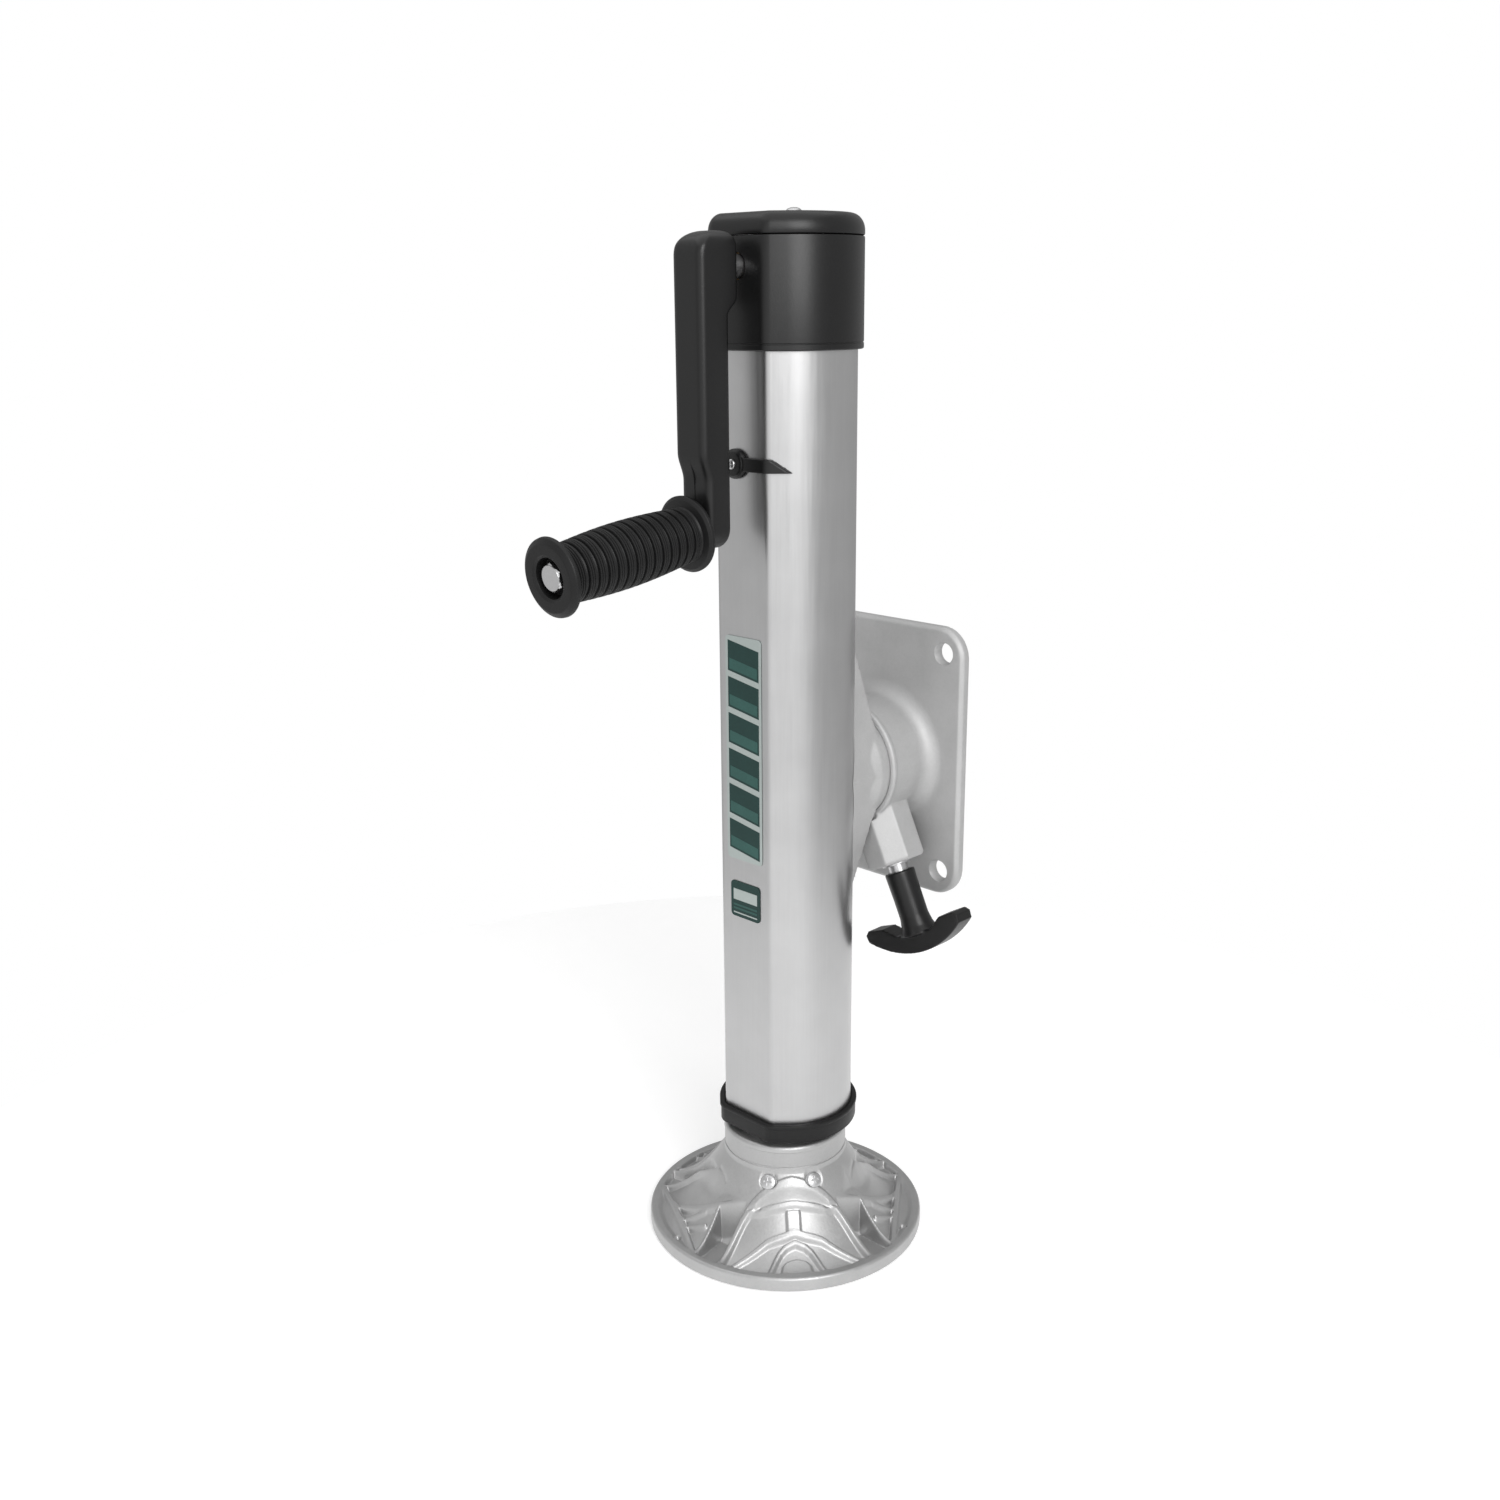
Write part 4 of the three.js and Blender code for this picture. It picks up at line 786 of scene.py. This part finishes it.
def hex_piece(name, place, apothem, low, high, bore, body, node, washer_r=None, shank=None):
    """A hexagon with turned chamfers, and a bore or a shank of (radius, lowest height)."""
    sides = 96

    def ring(limit, z):
        points = []
        for k in range(sides):
            a = 2 * math.pi * k / sides
            flat = apothem / math.cos((a + math.pi / 6) % (math.pi / 3) - math.pi / 6)
            r = min(flat, limit)
            points.append(place @ Vector((r * math.cos(a), r * math.sin(a), z)))
        return points

    corner = apothem / math.cos(math.pi / 6)
    rings = [ring(washer_r or apothem * 0.98, low), ring(washer_r or corner, low + 0.4)]
    rings += [ring(corner, low + 1.0 if washer_r else low + 0.9), ring(corner, high - 1.1)]
    rings += [ring(corner - 0.45, high - 0.75), ring(corner - 1.2, high - 0.3), ring(apothem * 0.96, high)]
    if bore:
        rings = [ring(bore, low)] + rings + [ring(bore, high)]
        shape = lofted(rings, closed=True)
    else:
        rings = [ring(shank[0], shank[1]), ring(shank[0], low)] + rings + [ring(apothem * 0.5, high - 0.15)]
        shape = lofted(rings)
    return finished(raw_object(name, *shape), zinc_steel, body, [node], 25)


def flat_washer(name, place, bore, radius, low, high, edge, sides, body, node):
    """A washer with eased outer edges."""
    profile = eased([(bore, low, 0), (radius, low, edge), (radius, high, edge), (bore, high, 0)])
    thing = raw_object(name, *turned(profile + [(bore, low)], sides, place))
    return finished(thing, zinc_steel, body, [node])


bolt_low = GRIP_START + GRIP_LENGTH - BOLT_RECESS + 0.15
bolt_high = bolt_low + 6.2
hex_piece("grip_bolt_visual", grip_place, 7.1, bolt_low, bolt_high, None, "crank", "grip_bolt", 7.6, (4, -7))
flat_washer("washer", grip_place, 4.2, 9, 10.4, 11.7, 0.3, 64, "crank", "grip_washer")

# ------------------------------------------------------------------ storage clip
CLIP = Vector((FLAT_X, 4, 493.5))


def storage_clip():
    """A round base on the flat, with a finger that bends round the tube's corner and comes to a point."""
    near, far = 0.25, 2.9
    profile = [(0, near, 0), (8.5, near, 0), (8.5, 2.3, 1.4), (6.6, 3.9, 1.0), (0, 4.3, 0)]
    base = turned(eased(profile), 64, along(CLIP, (-1, 0, 0)))
    low, high = 489.6, 497.2
    slope = (360 - SIDE_NORMAL + 90) * DEG

    def band(offset, reach):
        corner = arc(CORNER_X, -CORNER_Y, CORNER_R + offset, 180, 360 - SIDE_NORMAL, 12)
        ex, ey = corner[-1]
        tip = (ex + reach * math.cos(slope), ey + reach * math.sin(slope))
        return [(FLAT_X - offset, 4)] + corner + [tip]

    outline = band(near, 12) + band(far, 12)[::-1]
    finger = prism(outline, low, high, facing_z)
    thing = raw_object("clip", *merged(base, finger))
    wedge = [(-31, low - 0.1), (-45, low - 5), (-45, high + 0.4), (-22, high + 0.4)]
    cut(thing, prism(wedge, -60, 0, facing_x))
    melted(thing, 0.35, 4)
    return finished(thing, black_plastic, "jack", ["storage_clip"], 60)


storage_clip()
rivet_place = along(CLIP + Vector((-4.1, 0, 0)), (-1, 0, 0))
screw_piece("rivet", rivet_place, 2.9, 1.9, 2.2, 8, "jack", "clip_rivet")


# ------------------------------------------------------------------ printed films
DARK, PALE, TEAL, GROUND = range(4)


def film(name, node, half_y, half_z, z_middle, shapes, ground):
    """A thin film on the flat, with plain printed shapes (kind, outline) just above it."""
    corner = 2.5
    outline = rounded_corners(half_y, half_z, z_middle, corner, corner, 6)
    back, face = FLAT_X - 0.2, FLAT_X - 0.55
    parts = [prism(outline, back, face, facing_x)]
    kinds = [GROUND] * len(parts[0][1])
    for kind, shape in shapes:
        parts.append(prism(shape, face - 0.005, face - 0.05 - 0.03 * kind, facing_x))
        kinds += [kind] * len(parts[-1][1])
    thing = raw_object(name, *merged(*parts))
    for material in (film_dark, film_pale, film_teal, ground):
        thing.data.materials.append(material)
    for polygon, kind in zip(thing.data.polygons, kinds):
        polygon.material_index = kind
    return finished(thing, film_dark, "jack", [node])


def bar(half_y, low, high, slant=0.0):
    """A bar across the flat whose far end is higher by the slant."""
    return [(-half_y, low), (half_y, low + slant), (half_y, high + slant), (-half_y, high)]


STRIP_BLOCKS, BLOCK_START, BLOCK_PITCH = 6, 258.6, 22
strip_shapes = []
for k in range(STRIP_BLOCKS):
    z = BLOCK_START + k * BLOCK_PITCH
    strip_shapes.append((DARK, bar(12.6, z, z + 18.4, 4.2)))
    strip_shapes.append((TEAL, bar(11.4, z + 1.6, z + 8.0, 3.8)))
film("strip", "decal_strip", 14.5, 69, 325, strip_shapes, film_pale)
badge_shapes = [
    (PALE, bar(10, 229.4, 236.4)), (TEAL, bar(10, 225.6, 226.8)),
    (TEAL, bar(10, 223.2, 224.4)), (PALE, bar(10, 220.6, 221.4)),
]
film("badge", "decal_badge", 12.2, 11.5, 230, badge_shapes, film_dark)

# ------------------------------------------------------------------ swivel
pivot_place = along((0, 0, PIVOT_Z), (1, 0, 0))
plunger_out = Vector((0, -math.sin(PLUNGER_LEAN), -math.cos(PLUNGER_LEAN)))
plunger_place = along((PLUNGER_X, 0, PIVOT_Z), plunger_out)


def saddle_screw_places():
    """Two screws near each end of the saddle, square to the tube's round side."""
    places = []
    for up, side in ((1, 1), (1, -1), (-1, 1), (-1, -1)):
        turn = side * SADDLE_SCREW_SPREAD * DEG
        out = Vector((math.cos(turn), math.sin(turn), 0))
        centre = Vector((TUBE_CENTRE, 0, PIVOT_Z + up * SADDLE_SCREW_UP))
        places.append(along(centre + out * (TUBE_R - 4), out))
    return places


def taken_apart(thing):
    """The points in millimetres and the faces of an object, which is then removed."""
    points = [Vector(v.co) / MM for v in thing.data.vertices]
    faces = [tuple(p.vertices) for p in thing.data.polygons]
    bpy.data.objects.remove(thing)
    return points, faces


def saddle():
    """A kite-shaped plate hollowed to the tube, thinner towards its ends, with the spindle on its middle."""
    half = [(14, 82), (11, 85)]
    kite = [(35, 0)] + half + [(-y, z) for y, z in half[::-1]]
    kite += [(-y, -z) for y, z in kite]
    wings = raw_object("saddle", *prism([(y, PIVOT_Z + z) for y, z in kite], 18, 60, facing_x))
    slope_profile = [(0, 18), (89, 18), (89, 46), (42, 52), (35, 55.5), (0, 55.5)]
    slope = raw_object("slope", *turned(slope_profile, 96, pivot_place))
    step = wings.modifiers.new("slope", "BOOLEAN")
    step.operation = "INTERSECT"
    step.solver = "EXACT"
    step.object = slope
    bake(wings)
    bpy.data.objects.remove(slope)
    stem = turned([
        (0, 40), (32.6, 40), (36.6, 50), (36.6, 61.7), (25.5, 61.7), (25.5, 79.3),
        (11.5, 79.3), (11.5, 97.2), (0, 97.2),
    ], 96, pivot_place)
    thing = raw_object("saddle_body", *merged(taken_apart(wings), stem))
    melted(thing, 0.8, 4)
    shapes = [lofted([d_ring(0.2, 180), d_ring(0.2, 420)])]
    for k in range(4):
        turn = Matrix.Rotation(k * math.pi / 2, 4, "X")
        shapes.append(rod(PLUNGER_R + 0.6, 17, 30, along((PLUNGER_X, 0, PIVOT_Z), turn @ plunger_out)))
    for place in saddle_screw_places():
        shapes += [rod(6.8, 7.8, 30, place), rod(3.6, -1, 20, place)]
    cut(thing, *shapes)
    return finished(thing, cast_aluminium, "jack", ["swivel_saddle"], 50)


saddle()
for i, place in enumerate(saddle_screw_places(), 1):
    head = place @ Matrix.Translation((0, 0, 7.9))
    screw_piece(f"saddle_screw_visual_{i}", head, 6, 3, 3.2, 7, "jack", f"saddle_screw_{i}")
flat_washer("washer_back", pivot_place, 12, 21, 86.3, 88.7, 0.4, 96, "jack", "swivel_washer")
hex_piece("nut_back", pivot_place, 17.2, 89.0, 97.0, 11.8, "jack", "swivel_nut")


def bracket():
    """The bolt-on plate, its hub with a fillet, and the plunger's eight-sided boss, cast in one."""

    def plate_ring(inset, x):
        radius = PLATE_CORNER_R - inset
        outline = rounded_corners(PLATE_HALF_Y, PLATE_HALF_Z, PIVOT_Z, PLATE_CORNER_R, radius, 16)
        return [Vector((x, y, z)) for y, z in outline]

    plate = lofted([
        plate_ring(2.2, PLATE_FACE), plate_ring(0.2, PLATE_FACE + 2.0),
        plate_ring(0, PLATE_FACE + 2.6), plate_ring(0, PLATE_BACK),
    ])
    hub_profile = [(0, 57), (38.3, 57), (39.8, 58), (39.8, 60.2), (HUB_R, 60.9), (HUB_R, 82.6)]
    fillet_r, fillet_x = HUB_R + HUB_FILLET, PLATE_FACE + 0.1 - HUB_FILLET
    hub_profile += arc(fillet_r, fillet_x, HUB_FILLET, 180, 90, 9)
    hub = turned(hub_profile + [(fillet_r, 97), (0, 97)], 128, pivot_place)
    sides = 8
    corner_r = BOSS_HALF_FLATS / math.cos(math.pi / sides)
    boss_profile = [(0, 30), (corner_r, 30), (corner_r, BOSS_END - 1.8)]
    boss_profile += [(corner_r - 1.6, BOSS_END), (0, BOSS_END)]
    turn = plunger_place @ Matrix.Rotation(math.pi / sides, 4, "Z")
    boss = raw_object("bracket", *turned(boss_profile, sides, turn))
    cut(boss, rod(41, 40, 57, pivot_place, 96))
    thing = raw_object("bracket_body", *merged(plate, hub, taken_apart(boss)))
    melted(thing, 0.7, 3)
    shapes = [
        rod(37, 47, 62.5, pivot_place, 128), rod(25.9, 60, 80, pivot_place, 96),
        rod(12.2, 78, 90, pivot_place), rod(24, 86, 106, pivot_place, 96), rod(9.8, 20, 76, plunger_place),
        prism([(-80, 200), (80, 200), (80, 400), (-80, 400)], PLATE_BACK, PLATE_BACK + 5, facing_x),
    ]
    bolt_hole = [
        (0, 85), (7.4, 85), (7.4, PLATE_FACE), (BOLT_HOLE_R, PLATE_FACE + 0.6), (BOLT_HOLE_R, 106), (0, 106),
    ]
    for sy in (1, -1):
        for sz in (1, -1):
            middle = (0, sy * BOLT_HALF_Y, PIVOT_Z + sz * BOLT_HALF_Z)
            shapes.append(turned(bolt_hole, 64, along(middle, (1, 0, 0))))
    cut(thing, *shapes)
    return finished(thing, cast_aluminium, "bracket", ["bracket_casting"], 50)


bracket()

# ------------------------------------------------------------------ plunger
pin_end = HANDLE_PIN_AT + 9
pin = turned(eased([
    (0, 26.4, 0), (4.5, 26.4, 0.4), (PLUNGER_R, 28, 0.6), (PLUNGER_R, SEAT_LOW, 0), (SEAT_R, SEAT_LOW, 0.3),
    (SEAT_R, SEAT_HIGH, 0.3), (PLUNGER_R, SEAT_HIGH, 0), (PLUNGER_R, pin_end, 0.6), (0, pin_end, 0),
]), 64, plunger_place)
pin_piece = raw_object("pin", *pin)
handle_pin_place = along(plunger_place @ Vector((0, 0, HANDLE_PIN_AT)), (1, 0, 0))
cut(pin_piece, rod(1.8, -14, 14, handle_pin_place, 32))
finished(pin_piece, zinc_steel, "plunger", ["plunger_pin"])
plug_bore = PLUNGER_R + 0.4
plug_profile = [(plug_bore, 64, 0), (9.5, 64, 0), (9.5, 72.4, 0.5), (plug_bore, 72.4, 0.4)]
plug_profile.append(plug_profile[0])
plug = turned(eased(plug_profile), 64, plunger_place)
finished(raw_object("plug", *plug), zinc_steel, "bracket", ["plunger_plug"])


def spring():
    """The coil spring round the plunger, with no body: its placement is baked into its points."""
    coils, steps_per_coil, coil_r, wire_r = 5, 40, 8, 0.8
    low, high, margin = 40.3, 62.2, 4
    steps = coils * steps_per_coil
    axis = Vector((0, 0, 1))
    wire = arc(0, 0, wire_r, 0, 330, 11)
    rings = []
    for i in range(steps + 1):
        a = 2 * math.pi * i / steps_per_coil
        out = Vector((math.cos(a), math.sin(a), 0))
        centre = out * coil_r + axis * (low + (high - low) * i / steps)
        rings.append([plunger_place @ (centre + out * u + axis * v) for u, v in wire])
    thing = raw_object("spring", *lofted(rings))
    finished(thing, zinc_steel, None, ["plunger_spring"], 50)
    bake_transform(thing)


spring()


def t_handle():
    """A sleeve on the pin, ending in a bar with a bowed underside and two finger wings."""
    bar_end, bow_r, half_bow = 130, 68, 36
    wing = [(-40.5, 112), (-37.5, 109.5), (-25, 110.5), (-15, 117)]
    outline = arc(0, bar_end - bow_r, bow_r, 90 - half_bow, 90 + half_bow, 24)
    outline += wing + [(-u, v) for u, v in wing[::-1]]
    across = plunger_out.cross(Vector((1, 0, 0))).normalized()
    origin = Vector((PLUNGER_X, 0, PIVOT_Z))

    def to_space(u, v, w):
        return origin + across * u + plunger_out * v + Vector((1, 0, 0)) * w

    wings = prism(outline, -7, 7, to_space)
    profile = [(0, 77), (9.4, 77), (9.8, 77.6), (9.4, 95), (9.4, 107), (10.4, 113), (12.5, 118), (0, 121)]
    sleeve = turned(profile, 64, plunger_place)
    thing = raw_object("handle", *merged(wings, sleeve))
    melted(thing, 0.5, 9)
    cut(thing, rod(PLUNGER_R + 0.1, 70, pin_end + 0.5, plunger_place))
    return finished(thing, black_plastic, "plunger", ["t_handle"], 50)


t_handle()

# ------------------------------------------------------------------ floor, light, camera
FLOOR_R = 620
floor_place = Matrix.Translation((-30, -30, -0.3))
floor = raw_object("floor", *turned([(0, -2), (FLOOR_R, -2), (FLOOR_R, 0), (0, 0)], 128, floor_place))
floor_material = textured("floor", (0.86, 0.86, 0.86), 0.6, 0, 60, 0.02, tint=0.01)
floor.data.materials.append(floor_material)
floor_shader = floor_material.node_tree.nodes["Principled BSDF"]
floor_shader.inputs["Emission Color"].default_value = (1, 1, 1, 1)
floor_shader.inputs["Emission Strength"].default_value = 0.3


def lamp(name, place_mm, towards_mm, size_mm, power):
    """A rectangular area lamp that faces a point."""
    data = bpy.data.lights.new(name, "AREA")
    data.shape = "RECTANGLE"
    data.size, data.size_y = size_mm[0] * MM, size_mm[1] * MM
    data.energy = power
    thing = bpy.data.objects.new(name, data)
    look = Vector(towards_mm) - Vector(place_mm)
    facing = look.to_track_quat("-Z", "Y").to_matrix().to_4x4()
    thing.matrix_world = Matrix.Translation(Vector(place_mm) * MM) @ facing
    scene.collection.objects.link(thing)
    return thing


lamp("key", (-650, -1250, 1150), (0, 0, 320), (800, 1000), 15)
lamp("top", (-100, 100, 1700), (0, 0, 200), (1800, 1800), 9)

# The camera sees white, and the object is lit by grey with broad brighter sides
BASE_LIGHT = 0.42
SIDE_LIGHTS = [(222, 0.55, 0.97, 0.72), (140, 0.2, 1.0, 0.30), (310, 0.2, 1.0, 0.16)]
world = bpy.data.worlds.new("studio")
scene.world = world
world.use_nodes = True
sky = world.node_tree
sky.nodes.clear()


def sky_node(kind, **inputs):
    """A world node with some of its inputs set."""
    made = sky.nodes.new(kind)
    for key, value in inputs.items():
        made.inputs[key].default_value = value
    return made


direction = sky_node("ShaderNodeTexCoord")


def lobe(azimuth, low, high, strength):
    """Light from one side, full where a direction's cosine to the azimuth is high and none below low."""
    dot = sky.nodes.new("ShaderNodeVectorMath")
    dot.operation = "DOT_PRODUCT"
    dot.inputs[1].default_value = (math.cos(azimuth * DEG), math.sin(azimuth * DEG), 0)
    sky.links.new(direction.outputs["Generated"], dot.inputs[0])
    fade = sky.nodes.new("ShaderNodeMapRange")
    fade.interpolation_type = "SMOOTHSTEP"
    fade.inputs["From Min"].default_value = low
    fade.inputs["From Max"].default_value = high
    fade.inputs["To Min"].default_value = 0
    fade.inputs["To Max"].default_value = strength
    sky.links.new(dot.outputs["Value"], fade.inputs["Value"])
    return fade.outputs["Result"]


base_light = sky_node("ShaderNodeValue")
base_light.outputs["Value"].default_value = BASE_LIGHT
total = base_light.outputs["Value"]
for side_light in SIDE_LIGHTS:
    add = sky_node("ShaderNodeMath")
    add.operation = "ADD"
    sky.links.new(total, add.inputs[0])
    sky.links.new(lobe(*side_light), add.inputs[1])
    total = add.outputs["Value"]
grey = sky_node("ShaderNodeBackground", Color=(1, 1, 1, 1))
sky.links.new(total, grey.inputs["Strength"])
white = sky_node("ShaderNodeBackground", Color=(1, 1, 1, 1), Strength=1.0)
path = sky_node("ShaderNodeLightPath")
blend = sky_node("ShaderNodeMixShader")
sky.links.new(path.outputs["Is Camera Ray"], blend.inputs["Fac"])
sky.links.new(grey.outputs["Background"], blend.inputs[1])
sky.links.new(white.outputs["Background"], blend.inputs[2])
output = sky_node("ShaderNodeOutputWorld")
sky.links.new(blend.outputs["Shader"], output.inputs["Surface"])

CAMERA_AT = Vector((-664.61, -632.22, 582.31))
YAW, PITCH, ROLL = 45.135 * DEG, 16.021 * DEG, -0.502 * DEG
forward = Vector((math.sin(YAW) * math.cos(PITCH), math.cos(YAW) * math.cos(PITCH), -math.sin(PITCH)))
level = Vector((math.cos(YAW), -math.sin(YAW), 0))
rise = level.cross(forward)
right = math.cos(ROLL) * level + math.sin(ROLL) * rise
up = -math.sin(ROLL) * level + math.cos(ROLL) * rise
lens = bpy.data.cameras.new("camera")
lens.lens = 37.617
lens.sensor_width = 36
camera = bpy.data.objects.new("camera", lens)
turn = Matrix((right, up, -forward)).transposed().to_4x4()
camera.matrix_world = Matrix.Translation(CAMERA_AT * MM) @ turn
scene.collection.objects.link(camera)
scene.camera = camera
scene.view_settings.view_transform = "Standard"

bpy.context.view_layer.update()
